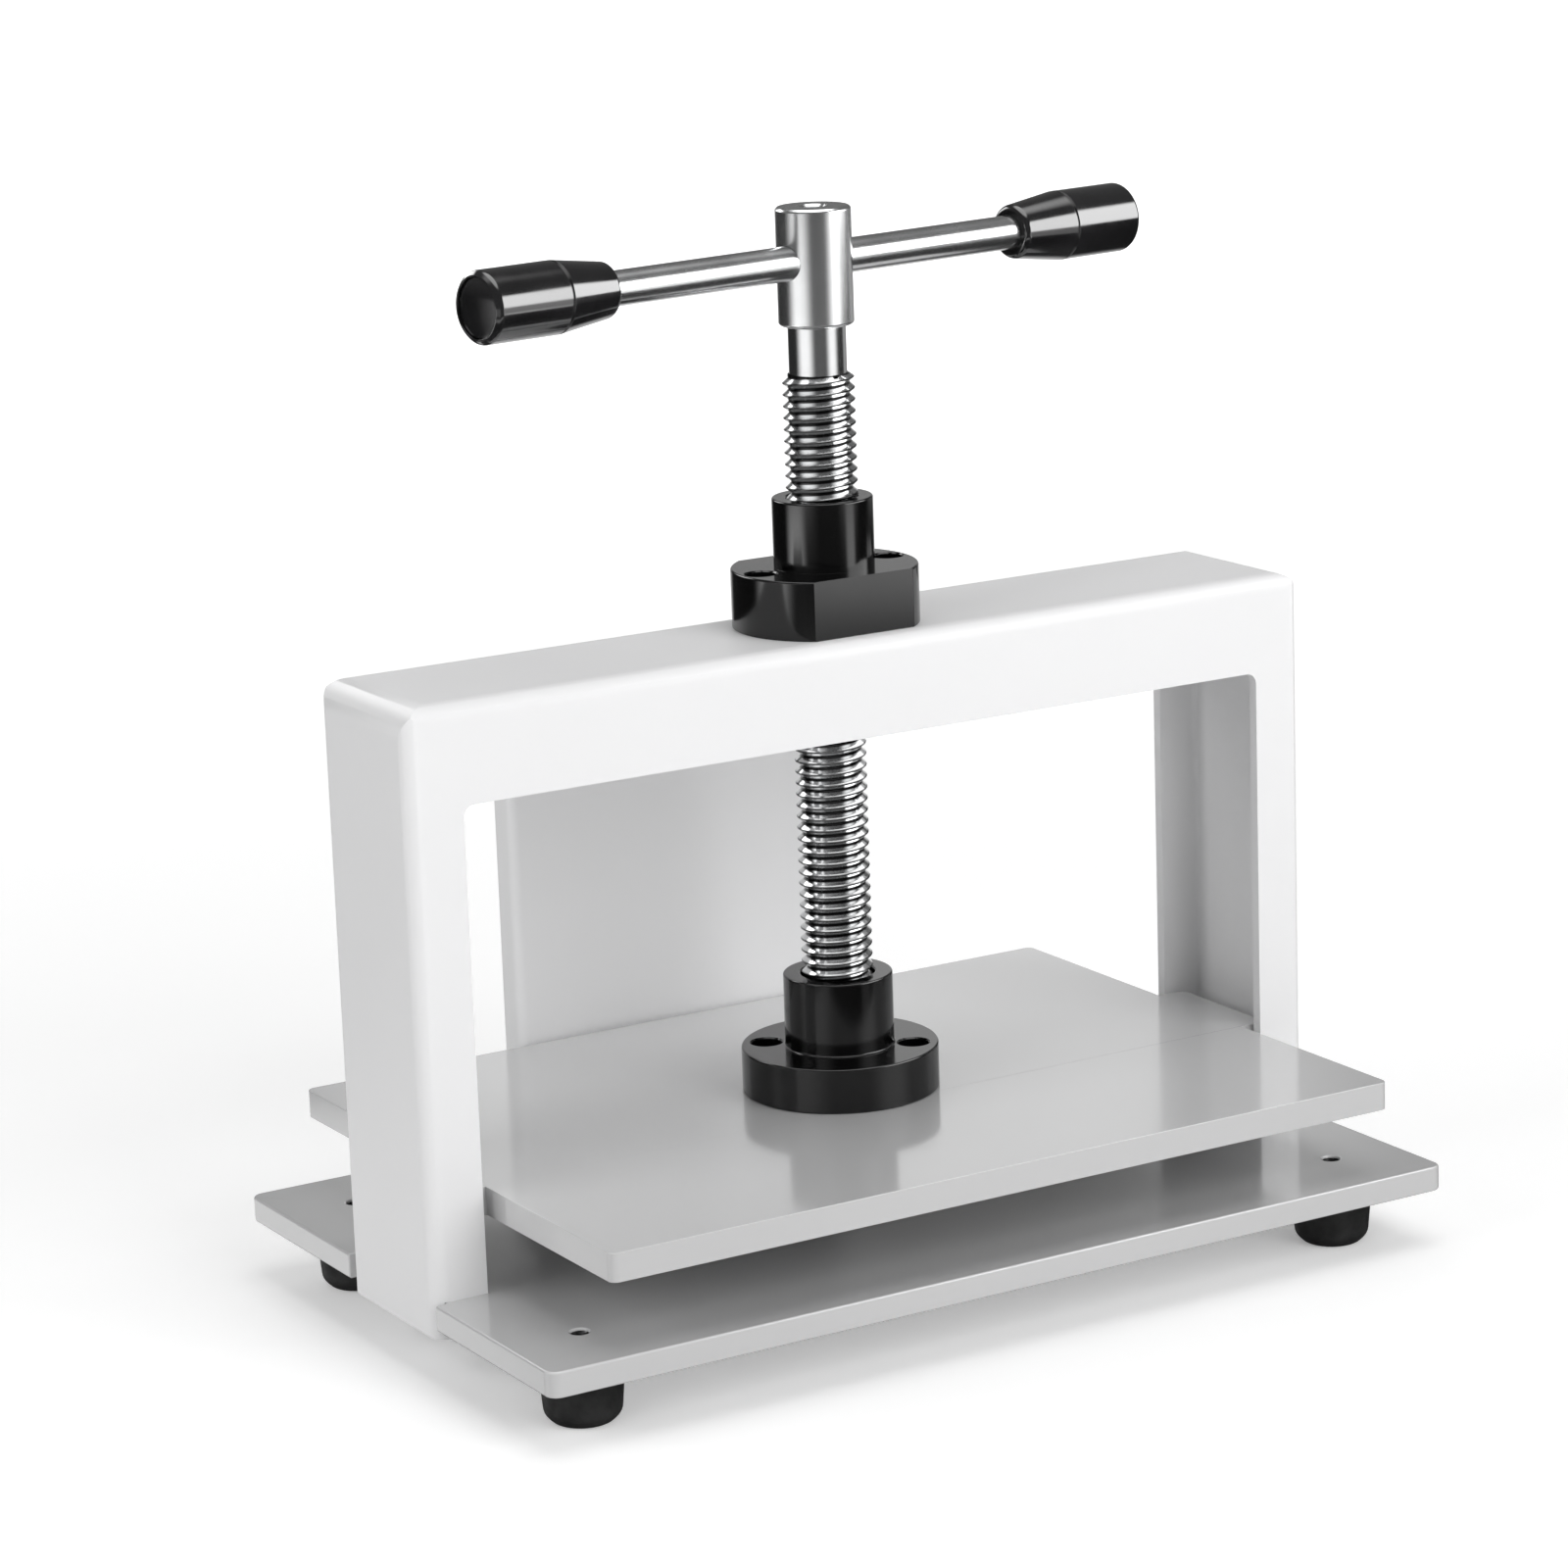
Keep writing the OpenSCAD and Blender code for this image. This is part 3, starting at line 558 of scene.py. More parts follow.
def effect(output, **inputs):
    """Makes a node group of a function on its first use. It gives one value from coordinates and named values."""
    def decorate(build):
        @functools.wraps(build)
        def group():
            made = bpy.data.node_groups.get(titled(build))
            if made:
                return made
            made = bpy.data.node_groups.new(titled(build), "ShaderNodeTree")
            sockets = made.interface
            sockets.new_socket(name="Coordinates", in_out="INPUT", socket_type="NodeSocketVector")
            for label, value in inputs.items():
                sockets.new_socket(name=label, in_out="INPUT", socket_type="NodeSocketFloat").default_value = value
            sockets.new_socket(name=output, in_out="OUTPUT", socket_type="NodeSocketFloat")
            result = build(made, add(made, "NodeGroupInput").outputs)
            add(made, "NodeGroupOutput", {output: result})
            return made
        return group
    return decorate


@effect("Value", Scale=20.0, Low=0.0, High=1.0)
def mottle(tree, given):
    """Soft cloudy change between two values."""
    clouds = add(tree, "ShaderNodeTexNoise", {
        "Vector": given["Coordinates"], "Scale": given["Scale"], "Detail": 4.0, "Roughness": 0.55,
    })
    return add(tree, "ShaderNodeMapRange", {
        "Value": clouds.outputs["Fac"], "From Min": 0.32, "From Max": 0.68,
        "To Min": given["Low"], "To Max": given["High"],
    }).outputs["Result"]


@effect("Lines", Spacing=0.0004)
def turned_lines(tree, given):
    """Fine rings that a lathe tool leaves round the Z axis, on walls and on faces."""
    spot = given["Coordinates"]
    run = maths(tree, "ADD", axis_distance(tree, spot), split(tree, spot)["Z"])
    return add(tree, "ShaderNodeTexNoise", {
        "W": maths(tree, "DIVIDE", run, given["Spacing"]), "Scale": 1.0, "Detail": 3.0, "Roughness": 0.7,
    }, noise_dimensions="1D").outputs["Fac"]


@effect("Mask", Scale=600.0, Share=0.1)
def specks(tree, given):
    """Small scattered specks, as of dust or pits, as a mask."""
    cells = add(tree, "ShaderNodeTexVoronoi", {
        "Vector": given["Coordinates"], "Scale": given["Scale"], "Randomness": 1.0,
    })
    return ease(tree, cells.outputs["Distance"], 0.0, given["Share"], 1.0, 0.0)


class Finish:
    """A material under construction, with its coordinates and its Principled shader."""

    def __init__(self, name):
        self.material = bpy.data.materials.new(name)
        self.material.use_nodes = True
        self.tree = self.material.node_tree
        self.shader = self.tree.nodes["Principled BSDF"]
        self.coordinates = add(self.tree, "ShaderNodeTexCoord").outputs["Object"]

    def centre(self, spot, rotation=(0, 0, 0)):
        """Puts the pattern's origin on a spot, and its Z axis along a turned one."""
        self.coordinates = add(self.tree, "ShaderNodeMapping", {
            "Vector": self.coordinates, "Location": spot, "Rotation": rotation,
        }, vector_type="TEXTURE").outputs["Vector"]

    def set(self, **values):
        """Plain values, and values that change over the surface, on the shader's own inputs."""
        for name, value in values.items():
            put(self.tree, self.shader.inputs[name.replace("_", " ")], value)

    def before(self, name):
        """What already feeds an input of the shader."""
        links = self.shader.inputs[name].links
        return links[0].from_socket if links else None

    def use(self, group, **values):
        """An effect with its own values."""
        sockets = {"Coordinates": self.coordinates, **values}
        return add(self.tree, "ShaderNodeGroup", sockets, node_tree=group()).outputs[0]

    def clouds(self, scale, low=0.0, high=1.0):
        """Soft cloudy change between two values."""
        return self.use(mottle, Scale=scale, Low=low, High=high)

    def mix(self, mask, low, high):
        """A base colour between two by a mask."""
        blend = add(self.tree, "ShaderNodeMix", {"Factor": mask, "A": low, "B": high}, data_type="RGBA")
        self.set(Base_Color=blend.outputs["Result"])

    def surface(self, tone, cloud, rough):
        """A clouded base colour and roughness, both from the clouds' scale and what they change between."""
        scale, dark, light = cloud
        self.mix(self.clouds(scale), shade(tone, dark), shade(tone, light))
        self.set(Roughness=self.clouds(*rough))

    def bump(self, height, strength, depth):
        """Relief that follows a value, up to a depth in metres, on top of any before it."""
        sockets = {"Strength": strength, "Distance": depth, "Height": height}
        if self.before("Normal"):
            sockets["Normal"] = self.before("Normal")
        self.set(Normal=add(self.tree, "ShaderNodeBump", sockets).outputs["Normal"])


def shade(tone, factor):
    """A colour made lighter or darker, with its alpha."""
    return (*(min(1.0, part * factor) for part in tone), 1)


def finish_of(build):
    """Makes a material of a function on its first use."""
    @functools.wraps(build)
    def material():
        made = bpy.data.materials.get(titled(build))
        if made:
            return made
        finish = Finish(titled(build))
        build(finish)
        return finish.material
    return material


def powder_coat(finish, paint, rough, gloss, coat):
    """Powder coat with a fine orange peel and a few specks under it."""
    finish.set(IOR=1.5, Specular_IOR_Level=gloss, Coat_Weight=coat, Coat_Roughness=0.1)
    finish.surface(paint, cloud=(5.0, 0.992, 1.006), rough=(30.0, rough, rough + 0.04))
    finish.bump(finish.clouds(520.0), strength=0.06, depth=0.00005)
    finish.bump(finish.use(specks, Scale=260.0, Share=0.09), strength=0.10, depth=0.00005)


@finish_of
def frame_coat(finish):
    """Satin white coat of the portal and the rear stop."""
    powder_coat(finish, colours().paint, rough=0.36, gloss=0.3, coat=0.0)


@finish_of
def shaded_plate_coat(finish):
    """Smoother, glossier coat of the two plates, a little greyer than the frame's as painted shade."""
    powder_coat(finish, colours().shaded_plate_paint, rough=0.14, gloss=0.5, coat=0.8)


@finish_of
def blackened_steel(finish):
    """Turned steel with a smooth black finish."""
    finish.centre(AXIS)
    finish.set(IOR=1.52)
    finish.surface(colours().blackened, cloud=(70.0, 0.9, 1.1), rough=(40.0, 0.13, 0.15))
    finish.bump(finish.use(turned_lines, Spacing=0.00055), strength=0.03, depth=0.00004)


def bright_steel(name, spot, rough, rotation=(0, 0, 0)):
    """Ground and polished steel with fine tool lines round its own axis."""
    finish = Finish(name)
    finish.centre(spot, rotation)
    finish.set(Metallic=1.0)
    finish.surface(colours().steel, cloud=(55.0, 0.94, 1.03), rough=(60.0, rough, rough + 0.03))
    finish.bump(finish.use(turned_lines, Spacing=0.0003), strength=0.03, depth=0.00003)
    return finish


def threaded_steel(root, crest):
    """Bright steel with painted shade in the root of its thread and a darker band along its crest."""
    finish = bright_steel("Bright thread", AXIS, rough=0.13)
    tree = finish.tree
    radius = axis_distance(tree, finish.coordinates)
    # The root's dark band is painted shade in the thread's hollow; the crest's band only darkens the colour there.
    for edge, dark_to, full_tone_from, darker in ((root, 0.0001, 0.0006, 0.05), (crest, 0.0001, 0.0004, 0.15)):
        away = maths(tree, "ABSOLUTE", maths(tree, "SUBTRACT", radius, edge))
        finish.mix(ease(tree, away, dark_to, full_tone_from), shade(colours().steel, darker), finish.before("Base Color"))
    return finish


@finish_of
def zinc_plate(finish):
    """Bright zinc plate, a little clouded."""
    finish.set(Metallic=1.0)
    finish.surface(colours().zinc, cloud=(260.0, 0.82, 1.12), rough=(420.0, 0.26, 0.42))
    finish.bump(finish.clouds(1600.0), strength=0.08, depth=0.00004)


@finish_of
def moulded_plastic(finish):
    """Polished black thermoset with faint flow marks."""
    finish.set(IOR=1.75, Coat_Weight=0.4, Coat_Roughness=0.05)
    finish.surface(colours().phenolic, cloud=(40.0, 0.7, 1.6), rough=(90.0, 0.10, 0.17))
    finish.bump(finish.clouds(320.0), strength=0.05, depth=0.00005)


@finish_of
def foot_rubber(finish):
    """Matt black rubber with a fine moulded grain."""
    finish.set(IOR=1.52)
    finish.surface(colours().rubber, cloud=(110.0, 0.7, 1.8), rough=(240.0, 0.55, 0.75))
    finish.bump(finish.use(specks, Scale=1500.0, Share=0.45), strength=0.25, depth=0.0001)


@finish_of
def turned_brass(finish):
    """Turned brass, a little tarnished."""
    finish.centre(AXIS)
    finish.set(Metallic=1.0)
    finish.surface(colours().brass, cloud=(130.0, 0.7, 1.05), rough=(200.0, 0.2, 0.38))
    finish.bump(finish.use(turned_lines, Spacing=0.0004), strength=0.1, depth=0.00004)


# Pieces

def foot_spots():
    """The places of the four feet."""
    low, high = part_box("rubber_feet")
    inset = sizes().foot_top / 2
    return [Vector((x, y, 0)) for x in (low.x + inset, high.x - inset) for y in (low.y + inset, high.y - inset)]


def at_feet(pattern, name):
    """Copies of a pattern at the four feet, joined into one object. The pattern is used up."""
    copies = [copy_of(pattern, name, Matrix.Translation(spot)) for spot in foot_spots()]
    bpy.data.objects.remove(pattern)
    return join(copies, name)


class PRESS_OT_base_plate(bpy.types.Operator):
    """Models the base with its end notches and the holes over its feet."""

    bl_idname = "press.base_plate"
    bl_label = "Base plate"

    def execute(self, context):
        size = sizes()
        low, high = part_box("base_plate")
        piece = block("base", low, high, along=2, radii={(0, 0): size.base_corner})
        half = size.notch_width / 2
        for end in (low.x, high.x):
            cut(piece, block("notch", (end - size.sheet, AXIS.y - half, low.z - PAST),
                             (end + size.sheet, AXIS.y + half, high.z + PAST)))
        for spot in foot_spots():
            cut(piece, drill(size.foot_hole, low.z - PAST, high.z, spot))
        soften(piece, size.painted_edge)
        hand_over(piece, "white_paint", shaded_plate_coat(), "base_plate")
        self.shaded_tapped_threads(high.z)
        return {"FINISHED"}

    def shaded_tapped_threads(self, top):
        """The unpainted threads that stay open over the foot screws, coloured black as painted shade in the holes."""
        size = sizes()
        bore = size.foot_hole / 2
        low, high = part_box("foot_screws")[1].z, top - size.painted_edge
        count = int((high - low) / size.foot_pitch)
        step = (high - low) / count
        outline = [(bore + size.foot_thread, low)]
        for ring in range(count):
            outline += [(bore - size.foot_thread, low + (ring + 0.5) * step), (bore, low + (ring + 1) * step)]
        outline += [(bore + size.foot_thread, high), outline[0]]
        thread = lathe("thread", outline, steps=48)
        smooth(thread)
        piece = at_feet(thread, "shaded_tapped_threads")
        # Their black stands for the shade deep in the holes over the feet.
        piece.data.materials.append(blackened_steel())
        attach(piece, frame["nodes"]["base_plate"]["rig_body"])


class PRESS_OT_rubber_feet(bpy.types.Operator):
    """Models a tapered foot with a rounded floor rim and a screw recess, and copies it to the four corners."""

    bl_idname = "press.rubber_feet"
    bl_label = "Rubber feet"

    def execute(self, context):
        size = sizes()
        low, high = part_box("rubber_feet")
        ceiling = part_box("foot_washers")[1].z
        top, floor = size.foot_top / 2, size.foot_floor / 2
        recess, bore = FOOT_RECESS, size.foot_hole / 2
        rim, edge = size.foot_rim, FOOT_EDGE
        foot = lathe("foot", rounded([
            (bore, high.z), (top - edge, high.z), (top, high.z - edge), (floor, low.z + rim), (floor - rim, low.z),
            (recess + edge, low.z), (recess, low.z + edge), (recess, ceiling), (bore, ceiling), (bore, high.z),
        ], rim * 0.6), steps=72)
        smooth(foot)
        hand_over(at_feet(foot, "feet"), "black_rubber", foot_rubber(), "rubber_feet")
        return {"FINISHED"}


class PRESS_OT_portal(bpy.types.Operator):
    """Models the bent-sheet portal with its flanges, window and foot returns."""

    bl_idname = "press.portal"
    bl_label = "Portal frame"

    def bent_block(self, inset):
        """The portal's block with its bends rounded, drawn in on every side."""
        size = sizes()
        low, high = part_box("frame")
        low, high = low + Vector((inset,) * 3), high - Vector((inset,) * 3)
        past_x, past_y, past_z = Vector((PAST, 0, 0)), Vector((0, PAST, 0)), Vector((0, 0, PAST))
        bend = size.bend - inset
        front = block("front", low - past_y, high + past_y, along=1, radii={
            **both(1, size.shoulder - inset), **both(-1, size.foot_corner - inset),
        })
        plan = block("plan", low - past_z, high + past_z, along=2, radii={(0, 0): bend})
        side = block("side", low - past_x - past_z, high + past_x, along=0, radii=both(1, bend))
        combine(front, plan, "INTERSECT")
        return combine(front, side, "INTERSECT")

    def execute(self, context):
        size = sizes()
        low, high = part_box("frame")
        base_low, base_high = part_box("base_plate")
        front, rear = low.y - PAST, high.y + PAST
        window, gap = low.x + size.leg_width, low.x + size.return_length
        piece = cut(
            self.bent_block(0.0),
            self.bent_block(size.sheet),
            block("window", (window, front, base_low.z), (-window, rear, high.z - size.beam_height),
                  along=1, radii=both(1, size.window_corner)),
            block("slot", (low.x + size.sheet, front, base_low.z), (high.x - size.sheet, rear, base_high.z)),
            block("gap", (gap, front, low.z - PAST), (-gap, rear, base_low.z + PAST)),
        )
        under = high.z - size.sheet - PAST
        cut(piece, drill(size.nut_spigot + 2 * SLIP, under, high.z + PAST, AXIS))
        for spot in pair(size.nut_screw_span):
            cut(piece, drill(size.screw_hole, under, high.z + PAST, spot))
        for x in (low.x + size.bolt_inset, high.x - size.bolt_inset):
            for side in (-1, 1):
                spot = (x, AXIS.y + side * size.bolt_span / 2)
                cut(piece, drill(size.bolt_hole, low.z - PAST, base_low.z + PAST, spot))
        soften(piece, size.sheet_edge)
        hand_over(piece, "white_paint", frame_coat(), "frame")
        return {"FINISHED"}


class PRESS_OT_rear_stop(bpy.types.Operator):
    """Models the upright sheet behind the plates with its side flanges and its foot."""

    bl_idname = "press.rear_stop"
    bl_label = "Rear stop"

    def execute(self, context):
        size = sizes()
        low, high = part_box("rear_stop")
        base_low, base_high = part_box("base_plate")
        sheet, bend = size.stop_sheet, size.stop_bend
        front, behind = low.y + size.stop_return, high.y + 2 * bend
        bottom, top = base_high.z + STOP_RISE, high.z
        piece = cut(
            block("channel", (low.x, front, bottom), (high.x, high.y + bend, top), along=2, radii=both(-1, bend)),
            block("inner", (low.x + sheet, front + sheet, bottom - PAST), (high.x - sheet, behind, top + PAST),
                  along=2, radii=both(-1, bend - sheet)),
            block("rear", (low.x - PAST, high.y, bottom - PAST), (high.x + PAST, behind, top + PAST)),
        )
        left, right, lap = low.x + bend, high.x - bend, bottom + STOP_LAP
        foot = cut(
            block("foot", (left, low.y, low.z), (right, front + sheet, lap), along=0, radii={(1, -1): bend}),
            block("hollow", (left - PAST, low.y - PAST, low.z + sheet), (right + PAST, front, lap + PAST),
                  along=0, radii={(1, -1): bend - sheet}),
        )
        combine(piece, foot, "UNION")
        for side in (-1, 1):
            spot = (side * size.stop_screw_span / 2, low.y + size.stop_return / 2)
            cut(piece, drill(size.stop_hole, low.z - PAST, base_low.z + PAST, spot))
        soften(piece, size.sheet_edge)
        hand_over(piece, "white_paint", frame_coat(), "rear_stop")
        return {"FINISHED"}


class PRESS_OT_pressing_plate(bpy.types.Operator):
    """Models the pressing plate with an ear at each end."""

    bl_idname = "press.pressing_plate"
    bl_label = "Pressing plate"

    def execute(self, context):
        size = sizes()
        low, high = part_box("pressing_plate")
        half, ear = size.plate_length / 2, size.ear_width / 2
        piece = block("plate", (-half, low.y, low.z), (half, high.y, high.z), along=2,
                      radii={(0, 0): size.plate_corner})
        ears = block("ears", (low.x, AXIS.y - ear, low.z), (high.x, AXIS.y + ear, high.z), along=2,
                     radii={(0, 0): size.ear_corner})
        combine(piece, ears, "UNION")
        pocket = 2 * (half_width("thrust_washer") + SLIP)
        cut(piece, drill(pocket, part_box("thrust_washer")[0].z, high.z, AXIS))
        for spot in pair(size.seat_screw_span, size.seat_turn):
            cut(piece, drill(size.screw_hole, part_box("seat_screws")[0].z - END_GAP, high.z, spot))
        soften(piece, size.painted_edge)
        hand_over(piece, "white_paint", shaded_plate_coat(), "pressing_plate")
        return {"FINISHED"}


def sink_screws(piece, spots, low, floor, top):
    """Cuts holes with recesses for socket screws, whose heads stand on the floor of their recess."""
    size = sizes()
    for spot in spots:
        cut(piece, drill(size.screw_hole, low - PAST, floor, spot),
            drill(size.head_recess, floor, top, spot, RECESS_MOUTH))


class PRESS_OT_top_nut(bpy.types.Operator):
    """Models the flanged nut with two flats, its boss and two sunk screw holes."""

    bl_idname = "press.top_nut"
    bl_label = "Top nut"

    def execute(self, context):
        size = sizes()
        low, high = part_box("top_nut")
        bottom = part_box("frame")[1].z
        top, inside = bottom + size.nut_flange, bottom + PAST
        radius, boss, spigot = half_width("top_nut"), size.nut_boss / 2, size.nut_spigot / 2
        bore = half_width("lead_screw") + RUN
        brim = BLACK_BRIM
        piece = on_axis(lathe("flange", rounded([
            (0, bottom), (radius, bottom), (radius, top - brim), (radius - brim, top), (0, top),
        ], ROUND)))
        for y, normal in ((low.y, -1), (high.y, 1)):
            slice_off(piece, (0, y, 0), (0, normal, 0))
        core = on_axis(lathe("core", rounded([
            (0, low.z), (spigot - brim, low.z), (spigot, low.z + brim), (spigot, inside), (boss, inside),
            (boss, high.z - brim), (boss - brim, high.z), (bore + brim, high.z), (0, high.z),
        ], ROUND)))
        combine(piece, core, "UNION")
        cut(piece, drill(2 * bore, low.z - PAST, high.z, AXIS, brim))
        sink_screws(piece, pair(size.nut_screw_span), bottom, bottom + size.nut_screw_floor, top)
        soften(piece, size.turned_edge)
        hand_over(piece, "black_oxide", blackened_steel(), "top_nut")
        return {"FINISHED"}


class PRESS_OT_screw_seat(bpy.types.Operator):
    """Models the flanged seat that carries the screw's lower end."""

    bl_idname = "press.screw_seat"
    bl_label = "Screw seat"

    def execute(self, context):
        size = sizes()
        low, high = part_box("screw_seat")
        top = low.z + size.seat_flange
        radius, boss, mouth = half_width("screw_seat"), size.seat_boss / 2, size.seat_mouth / 2
        chamber, bore = half_width("retaining_collar") + CHAMBER_GAP, size.journal / 2 + RUN
        ledge = high.z - size.seat_mouth_depth
        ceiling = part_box("retaining_collar")[1].z + 2 * SLIP
        brim = BLACK_BRIM
        piece = on_axis(lathe("seat", rounded([
            (chamber, low.z), (radius - brim, low.z), (radius, low.z + brim), (radius, top - brim),
            (radius - brim, top), (boss + brim, top), (boss, top + brim),
            (boss, high.z - brim), (boss - brim, high.z), (mouth + brim, high.z), (mouth, high.z - brim),
            (mouth, ledge), (bore, ledge), (bore, ceiling), (chamber, ceiling), (chamber, low.z),
        ], ROUND)))
        sink_screws(piece, pair(size.seat_screw_span, size.seat_turn), low.z, low.z + size.seat_screw_floor, top)
        soften(piece, size.turned_edge * 0.5)
        hand_over(piece, "black_oxide", blackened_steel(), "screw_seat")
        return {"FINISHED"}


class PRESS_OT_lead_screw(bpy.types.Operator):
    """Models the lead screw with its trapezoid thread, neck, journal and tail."""

    bl_idname = "press.lead_screw"
    bl_label = "Lead screw"

    def thread(self, radius, low, high):
        """The threaded length, cut square at both ends and chamfered."""
        size = sizes()
        core = radius - size.thread_depth
        flank = (PITCH - size.crest - size.root) / 2
        rise, fall = size.root + flank, size.root + flank + size.crest
        soft = THREAD_ROUND
        part = 0.4 * soft
        spare = 2  # turns past each end, which are cut off again
        profile = [
            (core, 0), (core, size.root - soft), (core + soft, size.root + part), (radius - soft, rise - part),
            (radius, rise + soft), (radius, fall - soft), (radius - soft, fall + part), (core + soft, PITCH - part),
            (core, PITCH),
        ]
        piece = draw("thread", [(out, low - spare * PITCH + height) for out, height in profile])
        close_mesh()
        turns = math.ceil((high - low) / PITCH) + 2 * spare
        run_modifier(piece, "SCREW", axis="Z", angle=2 * math.pi, screw_offset=PITCH, iterations=turns,
                     steps=56, render_steps=56, use_merge_vertices=True, merge_threshold=TINY)
        for height, normal in ((low, -1), (high, 1)):
            slice_off(piece, (0, 0, height), (0, 0, normal))
        for vertex in piece.data.vertices:
            inside = min(vertex.co.z - low, high - vertex.co.z)
            most = core + inside / math.tan(LEAD_IN)
            out = math.hypot(vertex.co.x, vertex.co.y)
            if out > most:
                vertex.co *= Vector((most / out, most / out, 1))
        return piece

    def execute(self, context):
        size = sizes()
        low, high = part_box("lead_screw")
        radius = half_width("lead_screw")
        head_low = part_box("tee_head")[0].z
        collar_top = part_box("retaining_collar")[1].z
        thread_top = head_low - size.neck_length
        thread_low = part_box("screw_seat")[1].z - size.seat_mouth_depth + size.mouth_gap
        journal, tail, neck = size.journal / 2, size.tail / 2, size.neck / 2
        brim, lap = SCREW_BRIM, CORE_LAP
        thread = self.thread(radius, thread_low, thread_top)
        lower = lathe("lower", rounded([
            (0, low.z), (tail - brim, low.z), (tail, low.z + brim), (tail, collar_top), (journal, collar_top),
            (journal, thread_low + lap), (0, thread_low + lap),
        ], ROUND))
        upper = lathe("upper", rounded([
            (0, thread_top - lap), (neck, thread_top - lap), (neck, head_low), (tail, head_low),
            (tail, high.z - brim), (tail - brim, high.z), (0, high.z),
        ], ROUND))
        piece = on_axis(join([thread, lower, upper], "screw"))
        smooth(piece)
        steel = threaded_steel(radius - size.thread_depth, radius)
        hand_over(piece, "bright_steel", steel.material, "lead_screw")
        return {"FINISHED"}


def arm_direction():
    """The direction of the handle's right arm."""
    ends = [sum(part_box(node), Vector()) / 2 for node in ("grip_left", "grip_right")]
    return (ends[1] - ends[0]).normalized()


def rod_centre():
    """The middle of the handle's rod, on the screw's axis."""
    low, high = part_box("handle_rod")
    return AXIS + Vector((0, 0, (low.z + high.z) / 2))


def arm_matrix(side):
    """Turns a piece drawn along +Z onto one arm of the handle."""
    turned = (arm_direction() * side).to_track_quat("Z", "Y").to_matrix().to_4x4()
    return Matrix.Translation(rod_centre()) @ turned


def reach_of(node):
    """Nearest and farthest distance of a node from the screw's axis along the handle."""
    arm = arm_direction()
    along = [abs((vertex.co - AXIS).dot(arm)) for vertex in frame["nodes"][node].data.vertices]
    return min(along), max(along)


class PRESS_OT_handle(bpy.types.Operator):
    """Models the tee head, bored for the rod and its set screw, and the rod."""

    bl_idname = "press.handle"
    bl_label = "Tee head and rod"

    def execute(self, context):
        self.head()
        self.rod()
        return {"FINISHED"}

    def head(self):
        """The head with its three bores."""
        size = sizes()
        low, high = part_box("tee_head")
        radius, bore, brim = half_width("tee_head"), size.rod_bore / 2, HANDLE_BRIM
        middle = rod_centre().z
        head = on_axis(lathe("head", rounded([
            (0, low.z), (radius - brim, low.z), (radius, low.z + brim), (radius, high.z - brim),
            (radius - brim, high.z), (0, high.z),
        ], ROUND)))
        across = lathe("across", [(0, -2 * radius), (bore, -2 * radius), (bore, 2 * radius), (0, 2 * radius)], steps=64)
        cut(head, drill(size.tail + 2 * SLIP, low.z - PAST, middle, AXIS),
            drill(size.head_screw, middle, high.z, AXIS, HEAD_MOUTH), place(across, arm_matrix(1)))
        soften(head, HEAD_EDGE, segments=2)
        steel = bright_steel("Bright head", AXIS, rough=0.22)
        hand_over(head, "bright_steel", steel.material, "tee_head")

    def rod(self):
        """The rod that runs through the head into both grips."""
        size = sizes()
        low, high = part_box("handle_rod")
        thick, brim, arm = (high.z - low.z) / 2, HANDLE_BRIM, arm_direction()
        half = (half_width("handle_rod") - thick * abs(arm.y)) / abs(arm.x)
        rod = lathe("rod", rounded([
            (0, -half), (thick - brim, -half), (thick, brim - half), (thick, half - brim), (thick - brim, half),
            (0, half),
        ], ROUND), steps=72)
        place(rod, arm_matrix(1))
        smooth(rod)
        steel = bright_steel("Bright rod", rod_centre(), rough=0.2, rotation=arm.to_track_quat("Z", "Y").to_euler())
        hand_over(rod, "bright_steel", steel.material, "handle_rod")


class PRESS_OT_grips(bpy.types.Operator):
    """Models a tapered grip with its groove and its domed end cap, and turns copies onto both arms."""

    bl_idname = "press.grips"
    bl_label = "Grips and caps"

    def execute(self, context):
        size = sizes()
        start, end = reach_of("grip_right")
        tip, body, cap, bore = size.grip_tip / 2, size.grip_body / 2, size.cap / 2, size.rod_bore / 2
        tip_edge, end_edge = GRIP_TIP_EDGE, GRIP_END_EDGE
        taper, groove = start + size.grip_taper, size.grip_groove
        neck = body - groove * 0.6
        floor, blind = end - size.cap_depth, reach_of("handle_rod")[1] + END_GAP
        grip = lathe("grip", rounded([
            (bore, start), (tip - tip_edge, start), (tip, start + tip_edge), (body, taper),
            (neck, taper + groove * 0.25), (neck, taper + groove * 0.75), (body, taper + groove),
            (body, end - end_edge), (body - end_edge, end), (cap + SLIP, end), (cap + SLIP, floor), (0, floor),
            (0, blind), (bore, blind), (bore, start),
        ], GRIP_ROUND, steps=5))
        top, rings = reach_of("grip_cap_right")[1], 8
        shares = [1 - ring / rings for ring in range(1, rings + 1)]
        rim = top - size.cap_dome
        disc = lathe("cap", [
            (0, floor), (cap, floor), (cap, rim - CAP_LIP), (cap - CAP_LIP_WIDTH, rim),
            *((cap * share, top - size.cap_dome * share ** 2) for share in shares),
        ])
        for pattern in (grip, disc):
            smooth(pattern, sharp=40.0)
        for side, name in ((-1, "left"), (1, "right")):
            hand_over(copy_of(grip, "grip", arm_matrix(side)), "black_plastic", moulded_plastic(), f"grip_{name}")
            hand_over(copy_of(disc, "cap", arm_matrix(side)), "black_plastic", moulded_plastic(), f"grip_cap_{name}")
        for pattern in (grip, disc):
            bpy.data.objects.remove(pattern)
        return {"FINISHED"}


